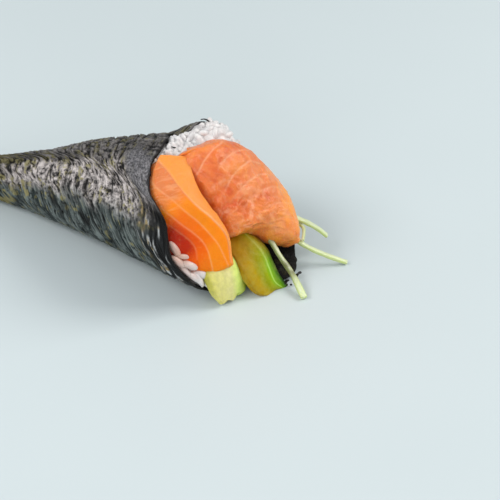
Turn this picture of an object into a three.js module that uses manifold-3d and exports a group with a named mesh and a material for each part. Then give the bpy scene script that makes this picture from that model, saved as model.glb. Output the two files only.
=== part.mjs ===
// A salmon temaki: a cone of nori lying on its side, filled with rice, with two slices of
// salmon, two avocado wedges and thin cucumber strips in its open mouth.
// Millimetres, +Z up. The roll lies along X with the mouth at +X, on the plane Z = 0.
import * as THREE from 'three';
import { mergeVertices } from 'three/addons/utils/BufferGeometryUtils.js';
import Module from 'manifold-3d';

const wasm = await Module();
wasm.setup();

// ---- Driving dimensions -------------------------------------------------------------------

const GAP = 0.3; // clear space between pieces that touch
const EDGE_ALLOWANCE = 1.8; // a cutter's corners move out less than its faces, so it is grown by more

// The nori cone: radius and sideways drift of its centre line, each against X.
const CONE_RADIUS = [[-130, 1.5], [-105, 5.6], [-80, 9.8], [-55, 15.6], [-30, 20.6], [-5, 23.8],
  [20, 25], [45, 25.5]];
const CONE_DRIFT = [[-130, 0.5], [-105, 3.6], [-80, 7], [-55, 8.2], [-30, 7.2], [-5, 4.5],
  [20, 4], [45, 4]];
const CONE_WIDE = 1.05; // the section is a little wider than it is high
const CONE_HIGH = 0.97;
const TIP_X = -126;
const TIP_CAP = 1.2; // how far the rounded tip stands past the last ring
const SINK = 0.4; // the cone is pressed flat by this much where it rests
const WALL = 0.9; // nori, two sheets thick on average
const CREASE = 0.3; // height of the crinkles either side of the mean surface
const CAVITY_X = -112; // the wrap is solid nori beyond this
const AROUND = 48; // columns of the cone's grid
const OUTER_ROWS = 24;
const ROW_BUNCHING = 0.9; // below 1 the rows stand closer together toward the rim
const INNER_ROWS = 8;

// The overlapping edge of the sheet: a step in the outer surface that winds down the back.
const OVERLAP = 0.55;
const SEAM_ANGLE = 64;
const SEAM_SPAN = 358.8; // what the grid's columns cover, so that the step has a width of its own
const SEAM_TWIST = 95; // how far the seam winds round between the rim and the tip
const OVERLAP_START = 0.3; // share of the cone's length where the step reaches its height
const CREASE_START = 0.12; // and where the crinkles reach theirs

// The rim of the nori: X against the angle round the section, in degrees. 0 is the far side,
// 90 the top, 180 the near side and 270 the bottom.
const RIM = [[-46, 15.5], [-30, 10.5], [-15, 3.5], [0, -4], [15, -11], [30, -16.5], [45, -20], [57, -21.5],
  [65, -27], [71, -27.5], [82, -24.8], [115, -22.3], [128, -20.6], [140, -17.3], [150, -11.6], [161, -7.4],
  [187, -5.4], [205, -1.4], [225, 1.4], [247, 3], [266, 6], [286, 18.6], [300, 19.3], [314, 15.5]];
const FLARE = 0.26; // the far top of the rim is bent outward by this share of the radius
const FLARE_ANGLE = 47;
const FLARE_WIDTH = 19;
const FLARE_REACH = 22; // length of cone over which the rim bends
const FLARE_FADE = 12; // the bend dies away over this angle beside the seam

// The mouth's own frame: p runs from the near side to the far side, q up the mouth and w out of it.
const MOUTH_CENTRE = [-6.66, 5, 22];
const MOUTH_NORMAL = new THREE.Vector3(1, -0.3, 0.78).normalize();

// Rice: set back from the rim, heaped over it at the far top and hollow at the far bottom, with
// a swell in the middle. Each of the two places has an angle, a width in degrees and a depth.
const RICE_SETBACK = 2;
const RICE_HEAP = { angle: 36, width: 28, depth: -6.5 };
const RICE_HOLLOW = { angle: 300, width: 34, depth: 12 };
const RICE_EASE = 0.9; // more clear space behind the heap, where the rim bends away
const RICE_OVERHANG = 0.5; // the heap swells past the rim's radius by this share at most
const RICE_SWELL = 3;
const RICE_ROWS = 6;
const GRAIN_LENGTH = 6;
const GRAIN_WIDTH = 2.5;
const GRAIN_STEP = 3; // distance between the places tried for a grain
const GRAIN_RING = 25; // radius of the outermost ring of grains
const GRAIN_REACH = { first: 0.98, last: 0.4, step: 0.11 }; // of the rings, as shares of that radius
const GRAIN_TILT = 0.9; // radians, from one end of the range to the other
const GRAIN_SEED = 7;

// Salmon strip, a slab that lies along the near wall. Each rail lists [p, q, w] from the top
// end to the bottom end: the crest, the low edge under the rim and the far edge.
const STRIP_CREST = [[-7, 25.8, 3], [-8.3, 20.8, 7], [-10.2, 13, 11], [-9.8, 6.7, 12.4],
  [-7.6, 0, 12.4], [-6.2, -7.4, 11], [-8.4, -15.4, 8.2]];
const STRIP_LOW = [[-9.4, 23.6, -1.2], [-14, 20.2, -0.6], [-19, 15.6, 0.5], [-21.6, 10.2, 1.6], [-23.6, 3, 2],
  [-23.4, -5.4, 2.6], [-15, -14.6, 3.8]];
const STRIP_FAR = [[1.6, 18.6, 7], [-1.4, 14.8, 8.5], [-4, 9.4, 10], [-4.6, 3.6, 10.8], [-4, -2, 10.8],
  [-4.7, -8.4, 10], [-7.2, -16.2, 7.6]];
const STRIP_THICK = 5.6;
const STRIP_ROUNDING = [0.14, 0.3]; // share of each side cut off at its corners, once and again
const STRIP_BULGE = 1.2; // how far its ends stand out
const STRIP_ROWS = 15;

// Salmon slice, a broad slab that leans across the far side of the mouth. Each station gives q,
// the near and far edges in p, the height w of its crown and its thickness.
const SLICE_STATIONS = [
  { q: 20.4, near: 0.5, far: 7, crown: 9.6, thick: 5 },
  { q: 18.8, near: -1.5, far: 12.8, crown: 10.8, thick: 6.6 },
  { q: 16, near: -2.5, far: 17.4, crown: 12, thick: 8 },
  { q: 9, near: -3, far: 22.6, crown: 13.2, thick: 9 },
  { q: 0, near: -3, far: 24.9, crown: 13.4, thick: 9 },
  { q: -8.6, near: -2.8, far: 26.4, crown: 13, thick: 9 },
  { q: -11.6, near: 3, far: 26.2, crown: 12.6, thick: 8.8 },
  { q: -15, near: 7.4, far: 25.6, crown: 12, thick: 8.4 },
  { q: -18.6, near: 9.6, far: 24.4, crown: 11.4, thick: 7.8 },
  { q: -21.8, near: 12.4, far: 22.8, crown: 10.4, thick: 7 },
  { q: -23.8, near: 15.2, far: 20.4, crown: 9.2, thick: 4.6 },
];
const SLICE_DROP = 4.2; // how far the edges of the slice fall below its crown
const SLICE_BULGE = 1.6;
const SLICE_ROWS = 15;

// Avocado wedges, as spines of [p, q, w] on the wedge's front face, with width and thickness.
const NEAR_WEDGE = [
  { at: [-9, 1, -6.5], width: 9, thick: 5 },
  { at: [-8.6, -6.6, 0.6], width: 11.4, thick: 6 },
  { at: [-8.6, -13.4, 5], width: 14, thick: 7.4 },
  { at: [-9.6, -18, 6], width: 15.2, thick: 7 },
  { at: [-10.1, -22.6, 5], width: 15, thick: 6 },
  { at: [-10.4, -26, 3.4], width: 12.2, thick: 3.8 },
];
const FAR_WEDGE = [
  { at: [3.5, 1, -5.5], width: 10, thick: 6 },
  { at: [2.2, -6.6, 2], width: 11.6, thick: 7.4 },
  { at: [1.8, -14, 7], width: 13, thick: 8.4 },
  { at: [1.4, -20, 8.6], width: 14, thick: 8.4 },
  { at: [0.6, -26, 8.4], width: 13.4, thick: 7 },
  { at: [1.3, -30, 7.9], width: 11, thick: 5.6 },
  { at: [3.6, -33.2, 7], width: 7, thick: 3.8 },
];
const WEDGE_ROWS = 12;
const WEDGE_ROUNDING = [0.18];
const WEDGE_BULGE = 0.8;
const NEAR_BAND = 0.26; // share of each wedge's width that is green outer flesh
const FAR_BAND = 0.3;

// Cucumber strips: centre lines of [x, y, z], from inside the roll to the free end.
const CUCUMBER = [
  {
    name: 'cucumber_strip_1',
    width: 2.5,
    thick: 1.5,
    line: [[-6, 13, 17], [4, 15, 15.6], [10.4, 14.2, 12], [15.6, 12.5, 7.8], [21.5, 10.4, 3.8],
      [28.6, 5.1, 0.9]],
  },
  {
    name: 'cucumber_strip_2',
    width: 1.9,
    thick: 1.2,
    line: [[-2, 20, 15], [8, 21.4, 12.6], [15.2, 21.8, 9.4], [20, 22.8, 6.8], [25.6, 25.6, 3.6],
      [31.6, 28.9, 0.8]],
  },
  {
    name: 'cucumber_strip_3',
    width: 2.6,
    thick: 1.1,
    line: [[-4, 22.6, 18], [6, 25.4, 16], [12, 27, 13.6], [16, 29.4, 11.2], [19, 31.6, 8.4],
      [21.6, 33.4, 5.4]],
  },
  {
    name: 'cucumber_strip_4',
    width: 1.2,
    thick: 1,
    line: [[8, 22.6, 12.8], [11, 24.8, 12.2], [13.6, 27.4, 11.4], [15.8, 27.4, 10.4], [17.2, 25.6, 9.8],
      [18.6, 22.4, 9.3]],
  },
];
const CUCUMBER_STEPS = 14;

// ---- Curves -------------------------------------------------------------------------------

const range = (count) => Array.from({ length: count }, (_, index) => index);
const lerp = THREE.MathUtils.lerp;
const radians = THREE.MathUtils.degToRad;

// A smooth curve y(x) through [x, y] pairs, each slope taken from the two neighbours.
function smoothCurve(pairs) {
  const last = pairs.length - 1;
  const slopes = pairs.map((_, index) => {
    const before = pairs[Math.max(index - 1, 0)];
    const after = pairs[Math.min(index + 1, last)];
    return (after[1] - before[1]) / (after[0] - before[0]);
  });
  return (x) => {
    let index = 0;
    while (index < last - 1 && x > pairs[index + 1][0]) index += 1;
    const [x0, y0] = pairs[index];
    const [x1, y1] = pairs[index + 1];
    const span = x1 - x0;
    const t = THREE.MathUtils.clamp((x - x0) / span, 0, 1);
    const bend = (3 - 2 * t) * t * t;
    const lean = t * (1 - t) * span;
    return y0 + (y1 - y0) * bend + lean * ((1 - t) * slopes[index] - t * slopes[index + 1]);
  };
}

// The same for lists of numbers of any length, spaced evenly over t from 0 to 1.
function smoothRail(points) {
  const last = points.length - 1;
  const pairsOf = (axis) => points.map((point, index) => [index / last, point[axis]]);
  const curves = range(points[0].length).map((axis) => smoothCurve(pairsOf(axis)));
  return (t) => curves.map((curve) => curve(t));
}

// ---- Solids and meshes --------------------------------------------------------------------

// Closed surface through rings of points, with a pole beyond each end ring. What would hang below
// the plane that the roll lies on is pressed flat against it.
function skin(rings, startPole, endPole) {
  const size = rings[0].length;
  const points = [...rings.flat(), startPole, endPole];
  const positions = points.flatMap(([x, y, z]) => [x, y, Math.max(z, 0)]);
  const start = rings.length * size;
  const end = start + 1;
  const faces = [];
  const endRow = (rings.length - 1) * size;
  for (let column = 0; column < size; column += 1) {
    const next = (column + 1) % size;
    faces.push(start, next, column);
    faces.push(end, endRow + column, endRow + next);
    for (let row = 0; row < rings.length - 1; row += 1) {
      const low = row * size;
      const high = low + size;
      faces.push(low + column, low + next, high + next);
      faces.push(low + column, high + next, high + column);
    }
  }
  const geometry = new THREE.BufferGeometry();
  geometry.setAttribute('position', new THREE.Float32BufferAttribute(positions, 3));
  geometry.setIndex(faces);
  return geometry;
}

function toSolid(geometry) {
  const bare = geometry.clone();
  bare.deleteAttribute('normal');
  bare.deleteAttribute('uv');
  const merged = mergeVertices(bare, 1e-4);
  return new wasm.Manifold(new wasm.Mesh({
    numProp: 3,
    vertProperties: new Float32Array(merged.getAttribute('position').array),
    triVerts: new Uint32Array(merged.index.array),
  }));
}

// The same surface moved outward, to cut a neighbour clear of it.
function grown(geometry) {
  const wider = mergeVertices(geometry, 1e-4);
  wider.computeVertexNormals();
  const position = wider.getAttribute('position');
  const normal = wider.getAttribute('normal');
  for (const index of range(position.count)) {
    const moved = new THREE.Vector3().fromBufferAttribute(position, index);
    moved.addScaledVector(new THREE.Vector3().fromBufferAttribute(normal, index), GAP * EDGE_ALLOWANCE);
    position.setXYZ(index, moved.x, moved.y, moved.z);
  }
  return toSolid(wider);
}

// The largest piece of a solid, so that a cut leaves no scraps.
function largest(solid) {
  return solid.decompose().reduce((best, piece) => (piece.volume() > best.volume() ? piece : best));
}

function toMesh(name, solid, material) {
  const { vertProperties, triVerts } = solid.getMesh();
  const geometry = new THREE.BufferGeometry();
  geometry.setAttribute('position', new THREE.Float32BufferAttribute(vertProperties, 3));
  geometry.setIndex(Array.from(triVerts));
  geometry.computeVertexNormals();
  const mesh = new THREE.Mesh(geometry, material);
  mesh.name = name;
  return mesh;
}

function finish(color, roughness) {
  return new THREE.MeshStandardMaterial({ color, roughness, metalness: 0 });
}

// ---- The mouth's frame --------------------------------------------------------------------

const acrossMouth = new THREE.Vector3(0, 1, 0).projectOnPlane(MOUTH_NORMAL).normalize();
const upMouth = new THREE.Vector3().crossVectors(MOUTH_NORMAL, acrossMouth);

const mouthTurn = new THREE.Matrix4().makeBasis(acrossMouth, upMouth, MOUTH_NORMAL);

function mouthPoint([p, q, w]) {
  return new THREE.Vector3(...MOUTH_CENTRE)
    .addScaledVector(acrossMouth, p)
    .addScaledVector(upMouth, q)
    .addScaledVector(MOUTH_NORMAL, w)
    .toArray();
}

function toMouth(point) {
  const offset = new THREE.Vector3(...point).sub(new THREE.Vector3(...MOUTH_CENTRE));
  return [acrossMouth, upMouth, MOUTH_NORMAL].map((axis) => offset.dot(axis));
}

// ---- Nori ---------------------------------------------------------------------------------

const coneRadius = smoothCurve(CONE_RADIUS);
const coneDrift = smoothCurve(CONE_DRIFT);
const rimCurve = smoothCurve(RIM);

function rimX(angle) {
  const first = RIM[0][0];
  return rimCurve(first + THREE.MathUtils.euclideanModulo(angle - first, 360));
}

// Only the inner sheet is bent out, so the flare ends at the seam.
function flare(x, angle) {
  const short = SEAM_ANGLE - THREE.MathUtils.euclideanModulo(SEAM_ANGLE - angle, 360);
  const nearRim = THREE.MathUtils.smoothstep(x, rimX(angle) - FLARE_REACH, rimX(angle));
  const nearSeam = THREE.MathUtils.smoothstep(SEAM_ANGLE - short, 0, FLARE_FADE);
  return 1 + FLARE * Math.exp(-(((short - FLARE_ANGLE) / FLARE_WIDTH) ** 2)) * nearRim * nearSeam;
}

// The y and z of the cone's centre line.
const coneMiddle = (x) => [coneDrift(x), CONE_HIGH * coneRadius(x)];

// Everything on the cone is placed by its angle at the rim, and turns with the seam toward the tip.
function seamTurn(x, angle) {
  const share = (x - TIP_X) / (rimX(angle) - TIP_X);
  return angle - SEAM_TWIST * (1 - THREE.MathUtils.clamp(share, 0, 1));
}

// A point of the cone, moved inward from its mean surface by an inset.
function conePoint(x, angle, inset) {
  const radius = coneRadius(x);
  const swell = flare(x, angle);
  const turn = radians(seamTurn(x, angle));
  const [middleY, middleZ] = coneMiddle(x);
  const y = middleY + (CONE_WIDE * radius * swell - inset) * Math.cos(turn);
  const z = middleZ + (CONE_HIGH * radius * swell - inset) * Math.sin(turn);
  return [x, y, Math.max(z - SINK, inset)];
}

// Crinkles of the dried sheet: slow folds along the cone crossed by short ones.
function crease(x, angle) {
  const turn = radians(angle);
  const pleats = Math.sin(5 * turn + 0.05 * x) * Math.sin(0.11 * x + 2 * turn);
  const folds = Math.sin(0.42 * x + 3 * Math.sin(2 * turn)) * Math.sin(7 * turn - 0.13 * x);
  return CREASE * (0.6 * pleats + 0.4 * folds);
}

// Columns of the grid: the first and last stand either side of the overlapping edge.
const seamSide = SEAM_ANGLE + (360 - SEAM_SPAN) / 2;
const columnAngles = range(AROUND).map((column) => seamSide + SEAM_SPAN * column / (AROUND - 1));

function outerRing(share) {
  return columnAngles.map((angle, column) => {
    const x = lerp(TIP_X, rimX(angle), share);
    const step = OVERLAP * (1 - column / (AROUND - 1));
    const overlap = step * THREE.MathUtils.smoothstep(share, 0, OVERLAP_START);
    const fade = THREE.MathUtils.smoothstep(share, 0, CREASE_START);
    return conePoint(x, angle, -overlap - fade * crease(x, seamTurn(x, angle)));
  });
}

function innerRing(share) {
  return columnAngles.map((angle) => {
    const x = lerp(CAVITY_X, rimX(angle), share);
    return conePoint(x, angle, WALL);
  });
}

function noriShell() {
  const outer = range(OUTER_ROWS + 1).map((row) => outerRing((row / OUTER_ROWS) ** ROW_BUNCHING));
  const inner = range(INNER_ROWS + 1).map((row) => innerRing(row / INNER_ROWS)).reverse();
  const tip = [TIP_X - TIP_CAP, ...coneMiddle(TIP_X)];
  const bottom = [CAVITY_X - 1, ...coneMiddle(CAVITY_X)];
  return skin([...outer, ...inner], tip, bottom);
}

// ---- Rice ---------------------------------------------------------------------------------

// Height of a bump at an angle, 1 at its middle.
function bump(angle, { angle: middle, width }) {
  const turn = THREE.MathUtils.euclideanModulo(angle - middle + 180, 360) - 180;
  return Math.exp(-((turn / width) ** 2));
}

function riceEdge(angle) {
  const setback = RICE_SETBACK + RICE_HEAP.depth * bump(angle, RICE_HEAP)
    + RICE_HOLLOW.depth * bump(angle, RICE_HOLLOW);
  return rimX(angle) - setback;
}

const riceInset = (angle) => WALL + GAP + RICE_EASE * bump(angle, RICE_HEAP);

// The surface of the rice in the mouth, from the wall (reach 1) to the middle (reach 0).
function riceFace(angle, reach) {
  const [p, q, w] = toMouth(conePoint(riceEdge(angle), angle, riceInset(angle)));
  const overhang = RICE_OVERHANG * bump(angle, RICE_HEAP) * Math.sin(Math.PI * reach);
  const spread = reach * (1 + overhang);
  return mouthPoint([p * spread, q * spread, w * reach ** 3 + RICE_SWELL * (1 - reach ** 4)]);
}

function riceCore() {
  const walls = range(INNER_ROWS).map((row) => columnAngles.map((angle) => {
    const x = lerp(CAVITY_X + 2, riceEdge(angle), row / INNER_ROWS);
    return conePoint(x, angle, riceInset(angle));
  }));
  const faceRing = (reach) => columnAngles.map((angle) => riceFace(angle, reach));
  const face = range(RICE_ROWS).map((row) => faceRing(1 - row / RICE_ROWS));
  const start = [CAVITY_X + 1, ...coneMiddle(CAVITY_X)];
  return toSolid(skin([...walls, ...face], start, riceFace(0, 0)));
}

// Repeatable numbers from 0 to 1.
function seededRandom(seed) {
  let state = seed;
  return () => {
    state = (state * 16807) % 2147483647;
    return state / 2147483647;
  };
}

// Grains lie on the rice in rings round the mouth. One that would meet a filling is left out.
function riceGrains(neighbours) {
  const random = seededRandom(GRAIN_SEED);
  const grains = [];
  for (let reach = GRAIN_REACH.first; reach > GRAIN_REACH.last; reach -= GRAIN_REACH.step) {
    const count = Math.round(2 * Math.PI * GRAIN_RING * reach / GRAIN_STEP);
    for (const index of range(count)) {
      const angle = 360 * (index + 0.7 * random()) / count;
      const place = riceFace(angle, reach - GRAIN_REACH.step / 2 * random());
      const size = 0.85 + 0.3 * random();
      const shape = new THREE.SphereGeometry(0.5, 5, 4).scale(GRAIN_WIDTH, GRAIN_LENGTH * size, GRAIN_WIDTH);
      shape.applyMatrix4(new THREE.Matrix4().makeRotationFromEuler(
        new THREE.Euler(GRAIN_TILT * (random() - 0.5), 0, 2 * Math.PI * random()),
      ));
      shape.applyMatrix4(mouthTurn);
      shape.translate(...place);
      const grain = toSolid(shape);
      if (neighbours.every((solid) => grain.intersect(solid).isEmpty())) grains.push(grain);
    }
  }
  return grains;
}

// ---- Fillings -----------------------------------------------------------------------------

// Rounds a closed ring by cutting its corners, once for each share of a side that is cut off.
function roundCorners(ring, cuts) {
  return cuts.reduce((rough, cut) => rough.flatMap((point, index) => {
    const next = rough[(index + 1) % rough.length];
    return [cut, 1 - cut].map((share) => point.map((value, axis) => lerp(value, next[axis], share)));
  }), ring);
}

const middleOf = (ring) => new THREE.Vector3(
  ...[0, 1, 2].map((axis) => ring.reduce((sum, point) => sum + point[axis], 0) / ring.length),
);

// Surface through rings whose ends bulge: a smaller ring and a pole past each end.
function roundEnded(rings, bulge) {
  const end = (ring, neighbour) => {
    const middle = middleOf(ring);
    const outward = middle.clone().sub(middleOf(neighbour)).setLength(bulge);
    const small = ring.map((point) => new THREE.Vector3(...point)
      .lerp(middle, 0.35).addScaledVector(outward, 0.75).toArray());
    return { small, pole: middle.add(outward).toArray() };
  };
  const start = end(rings[0], rings[1]);
  const finishEnd = end(rings.at(-1), rings.at(-2));
  return skin([start.small, ...rings, finishEnd.small], start.pole, finishEnd.pole);
}

// The strip's section leans: its broad face runs from crest to low edge, its narrow one to the far edge.
function salmonStrip() {
  const crestAt = smoothRail(STRIP_CREST);
  const lowAt = smoothRail(STRIP_LOW);
  const farAt = smoothRail(STRIP_FAR);
  const rings = range(STRIP_ROWS + 1).map((row) => {
    const t = row / STRIP_ROWS;
    const [crest, low, far] = [crestAt(t), lowAt(t), farAt(t)];
    const under = [low[0] + 0.45 * STRIP_THICK, low[1], low[2] - 0.9 * STRIP_THICK];
    const inner = [far[0] - 0.2 * STRIP_THICK, far[1], far[2] - STRIP_THICK];
    return roundCorners([crest, low, under, inner, far], STRIP_ROUNDING).map(mouthPoint);
  });
  return roundEnded(rings, STRIP_BULGE);
}

function salmonSlice() {
  const stations = SLICE_STATIONS.map(({ q, near, far, crown, thick }) => [q, near, far, crown, thick]);
  const stationAt = smoothRail(stations);
  const sides = 12;
  const rings = range(SLICE_ROWS + 1).map((row) => {
    const [q, near, far, crown, thick] = stationAt(row / SLICE_ROWS);
    const pointAt = (side) => {
      const across = Math.cos(Math.PI * side / sides);
      const half = Math.sqrt(1 - across ** 4) * thick / 2;
      const middle = crown - thick / 2 - SLICE_DROP * across ** 2;
      const p = lerp(near, far, (1 + across) / 2);
      return mouthPoint([p, q, side < sides ? middle + half : middle - half]);
    };
    return range(2 * sides).map(pointAt);
  });
  return roundEnded(rings, SLICE_BULGE);
}

// An avocado wedge: a flat front, a green outer side that slopes back, and a narrower back.
function avocadoWedge(stations, band) {
  const stationAt = smoothRail(stations.map(({ at, width, thick }) => [...at, width, thick]));
  const outline = [[-0.52, -0.4], [-0.36, -1], [0.34, -1], [0.5, -0.45], [0.5 - band, 0], [-0.5, 0]];
  const placeAt = (t) => new THREE.Vector3(...stationAt(t).slice(0, 3));
  const rings = range(WEDGE_ROWS + 1).map((row) => {
    const t = row / WEDGE_ROWS;
    const along = placeAt(Math.min(t + 0.02, 1)).sub(placeAt(Math.max(t - 0.02, 0))).normalize();
    const across = new THREE.Vector3(1, 0, 0).projectOnPlane(along).normalize();
    const front = new THREE.Vector3().crossVectors(across, along).negate();
    const [width, thick] = stationAt(t).slice(3);
    const ring = outline.map(([a, depth]) => placeAt(t)
      .addScaledVector(across, a * width).addScaledVector(front, depth * thick).toArray());
    return roundCorners(ring, WEDGE_ROUNDING).map(mouthPoint);
  });
  return roundEnded(rings, WEDGE_BULGE);
}

function cucumberStrip({ line, width, thick }) {
  const placeAt = smoothRail(line);
  const rings = range(CUCUMBER_STEPS + 1).map((step) => {
    const t = step / CUCUMBER_STEPS;
    const place = new THREE.Vector3(...placeAt(t));
    const along = new THREE.Vector3(...placeAt(Math.min(t + 0.02, 1)))
      .sub(new THREE.Vector3(...placeAt(Math.max(t - 0.02, 0)))).normalize();
    const across = new THREE.Vector3(0, 0, 1).cross(along).normalize();
    const up = new THREE.Vector3().crossVectors(along, across);
    const corners = [[-0.5, -0.5], [0.5, -0.5], [0.5, 0.5], [-0.5, 0.5]];
    return corners.map(([a, b]) => place.clone()
      .addScaledVector(across, a * width).addScaledVector(up, b * thick).toArray());
  });
  return skin(rings, placeAt(0), placeAt(1));
}

// ---- Assembly -----------------------------------------------------------------------------

const noriBlack = finish(0x23282a, 0.45);
const riceWhite = finish(0xe6e1e2, 0.5);
const salmonOrange = finish(0xee7a3e, 0.35);
const salmonPink = finish(0xe8825a, 0.35);
const avocadoPale = finish(0xd3cd78, 0.5);
const avocadoOlive = finish(0xb89c22, 0.5);
const cucumberGreen = finish(0xcfdca6, 0.4);

const fillings = [
  ['salmon_strip', salmonStrip(), salmonOrange],
  ['salmon_slice', salmonSlice(), salmonPink],
  ['avocado_wedge_near', avocadoWedge(NEAR_WEDGE, NEAR_BAND), avocadoPale],
  ['avocado_wedge_far', avocadoWedge(FAR_WEDGE, FAR_BAND), avocadoOlive],
  ...CUCUMBER.map((strip) => [strip.name, cucumberStrip(strip), cucumberGreen]),
];

const roll = new THREE.Group();
const wrap = noriShell();
roll.add(toMesh('nori_wrap', toSolid(wrap), noriBlack));

// Each filling gives way to the nori and to the fillings before it, and the rice to them all.
const cutters = [grown(wrap)];
for (const [name, geometry, material] of fillings) {
  const shape = cutters.reduce((rest, cutter) => rest.subtract(cutter), toSolid(geometry));
  roll.add(toMesh(name, largest(shape), material));
  cutters.push(grown(geometry));
}
const core = cutters.slice(1).reduce((rest, cutter) => rest.subtract(cutter), riceCore());
const rice = riceGrains(cutters).reduce((heap, grain) => heap.add(grain), core);
roll.add(toMesh('rice', largest(rice), riceWhite));

// The part's origin is below its middle, on the surface it rests on.
const box = new THREE.Box3().setFromObject(roll);
const middle = box.getCenter(new THREE.Vector3());
roll.position.set(-middle.x, -middle.y, -box.min.z);
const temaki = new THREE.Group();
temaki.add(roll);

export default temaki;
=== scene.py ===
# Looks of a salmon temaki: nori cone, rice, two slices of salmon, two avocado wedges and
# cucumber strips, on a pale floor. Sizes are in millimetres in the roll's own frame, and
# each mesh is moved into the part's frame, in metres, when it is made.
import math

import bpy
import numpy as np
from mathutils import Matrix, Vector
from mathutils.bvhtree import BVHTree


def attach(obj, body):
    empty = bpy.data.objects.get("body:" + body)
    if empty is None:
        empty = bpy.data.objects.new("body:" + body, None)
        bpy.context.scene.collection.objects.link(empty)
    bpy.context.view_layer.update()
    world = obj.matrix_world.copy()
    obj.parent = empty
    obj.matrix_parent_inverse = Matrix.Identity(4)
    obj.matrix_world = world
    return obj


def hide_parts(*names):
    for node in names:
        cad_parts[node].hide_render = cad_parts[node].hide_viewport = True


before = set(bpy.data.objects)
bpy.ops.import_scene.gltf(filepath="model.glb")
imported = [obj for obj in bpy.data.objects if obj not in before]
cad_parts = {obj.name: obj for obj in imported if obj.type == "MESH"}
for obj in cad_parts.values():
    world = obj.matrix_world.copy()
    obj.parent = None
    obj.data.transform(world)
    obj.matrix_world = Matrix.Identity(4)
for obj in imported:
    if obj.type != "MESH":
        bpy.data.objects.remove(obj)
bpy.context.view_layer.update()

# ---- Driving dimensions, millimetres ----

MM = 0.001
CONE_RADIUS = [
    (-130, 1.5), (-105, 5.6), (-80, 9.8), (-55, 15.6), (-30, 20.6), (-5, 23.8), (20, 25), (45, 25.5),
]
CONE_DRIFT = [
    (-130, 0.5), (-105, 3.6), (-80, 7), (-55, 8.2), (-30, 7.2), (-5, 4.5), (20, 4), (45, 4),
]
CONE_WIDE = 1.05
CONE_HIGH = 0.97
TIP_X = -126
TIP_CAP = 1.2
SINK = 0.4
WALL = 0.9
CAVITY_X = -112
OVERLAP = 0.55
SEAM_ANGLE = 64
SEAM_TWIST = 95
RIM = [
    (-46, 15.5), (-30, 10.5), (-15, 3.5), (0, -4), (15, -11), (30, -16.5), (45, -20), (57, -21.5),
    (65, -27), (71, -27.5), (82, -24.8), (115, -22.3), (128, -20.6), (140, -17.3), (150, -11.6),
    (161, -7.4), (187, -5.4), (205, -1.4), (225, 1.4), (247, 3), (266, 6), (286, 18.6), (300, 19.3),
    (314, 15.5),
]
FLARE = 0.26
FLARE_ANGLE = 47
FLARE_WIDTH = 19
FLARE_REACH = 22
FLARE_FADE = 12
RIM_REACH = 0.4
SPILL = 1.4  # how fast the fillings may widen past the rim
MOUTH_CENTRE = np.array([-6.66, 5, 22])
MOUTH_NORMAL = np.array([1, -0.3, 0.78])

# How far the rice stays back from the rim, and places round it, in degrees, where that differs:
# middle, spread and how much farther back.
RICE_SETBACK = 2
RICE_HEAP = (36, 28, -6.5)
RICE_HOLLOW = (300, 34, 12)
RICE_SHY = (166, 30, 5)
RICE_EASE = 0.9
RICE_OVERHANG = 0.5
RICE_SWELL = 3

STRIP_CREST = [
    (-7, 25.8, 3), (-8.3, 20.8, 7), (-10.2, 13, 11), (-9.8, 6.7, 12.4), (-7.6, 0, 12.4),
    (-6.2, -7.4, 11), (-8.4, -15.4, 8.2),
]
STRIP_LOW = [
    (-9.4, 23.6, -1.2), (-14, 20.2, -0.6), (-19, 15.6, 0.5), (-21.6, 10.2, 1.6), (-23.6, 3, 2),
    (-23.4, -5.4, 2.6), (-15, -14.6, 3.8),
]
STRIP_FAR = [
    (1.6, 18.6, 7), (-1.4, 14.8, 8.5), (-4, 9.4, 10), (-4.6, 3.6, 10.8), (-4, -2, 10.8),
    (-4.7, -8.4, 10), (-7.2, -16.2, 7.6),
]
STRIP_THICK = 5.6

# Stations of the broad slice: q, near edge, far edge, crown, thickness.
SLICE_STATIONS = [
    (20.4, 0.5, 7, 9.6, 5), (18.8, -1.5, 12.8, 10.8, 6.6), (16, -2.5, 17.4, 12, 8),
    (9, -3, 22.6, 13.2, 9), (0, -3, 24.9, 13.4, 9), (-8.6, -2.8, 26.4, 13, 9),
    (-11.6, 3, 26.2, 12.6, 8.8), (-15, 7.4, 25.6, 12, 8.4), (-18.6, 9.6, 24.4, 11.4, 7.8),
    (-21.8, 12.4, 22.8, 10.4, 7), (-23.8, 15.2, 20.4, 9.2, 4.6),
]
SLICE_DROP = 4.2
FILLING_CLEAR = 0.15  # between a filling and the wrap

# Stations of an avocado wedge: p, q, w of its front face, width, thickness.
NEAR_WEDGE = [
    (-9, 1, -6.5, 9, 5), (-8.6, -6.6, 0.6, 11.4, 6), (-8.6, -13.4, 5, 14, 7.4), (-9.6, -18, 6, 15.2, 7),
    (-10.1, -22.6, 5, 15, 6), (-10.4, -26, 3.4, 12.2, 3.8),
]
FAR_WEDGE = [
    (3.5, 1, -5.5, 10, 6), (2.2, -6.6, 2, 11.6, 7.4), (1.8, -14, 7, 13, 8.4), (1.4, -20, 8.6, 14, 8.4),
    (0.6, -26, 8.4, 13.4, 7), (1.3, -30, 7.9, 11, 5.6), (3.6, -33.2, 7, 7, 3.8),
]
NEAR_BAND = 0.26
FAR_BAND = 0.3
# How each wedge ends: depth of its lobes, slant of its cut, and the outer corner of its skin side.
NEAR_END = (0.7, 0, (0.56, -0.38))
FAR_END = (0.2, 6, (0.5, -0.45))

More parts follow.
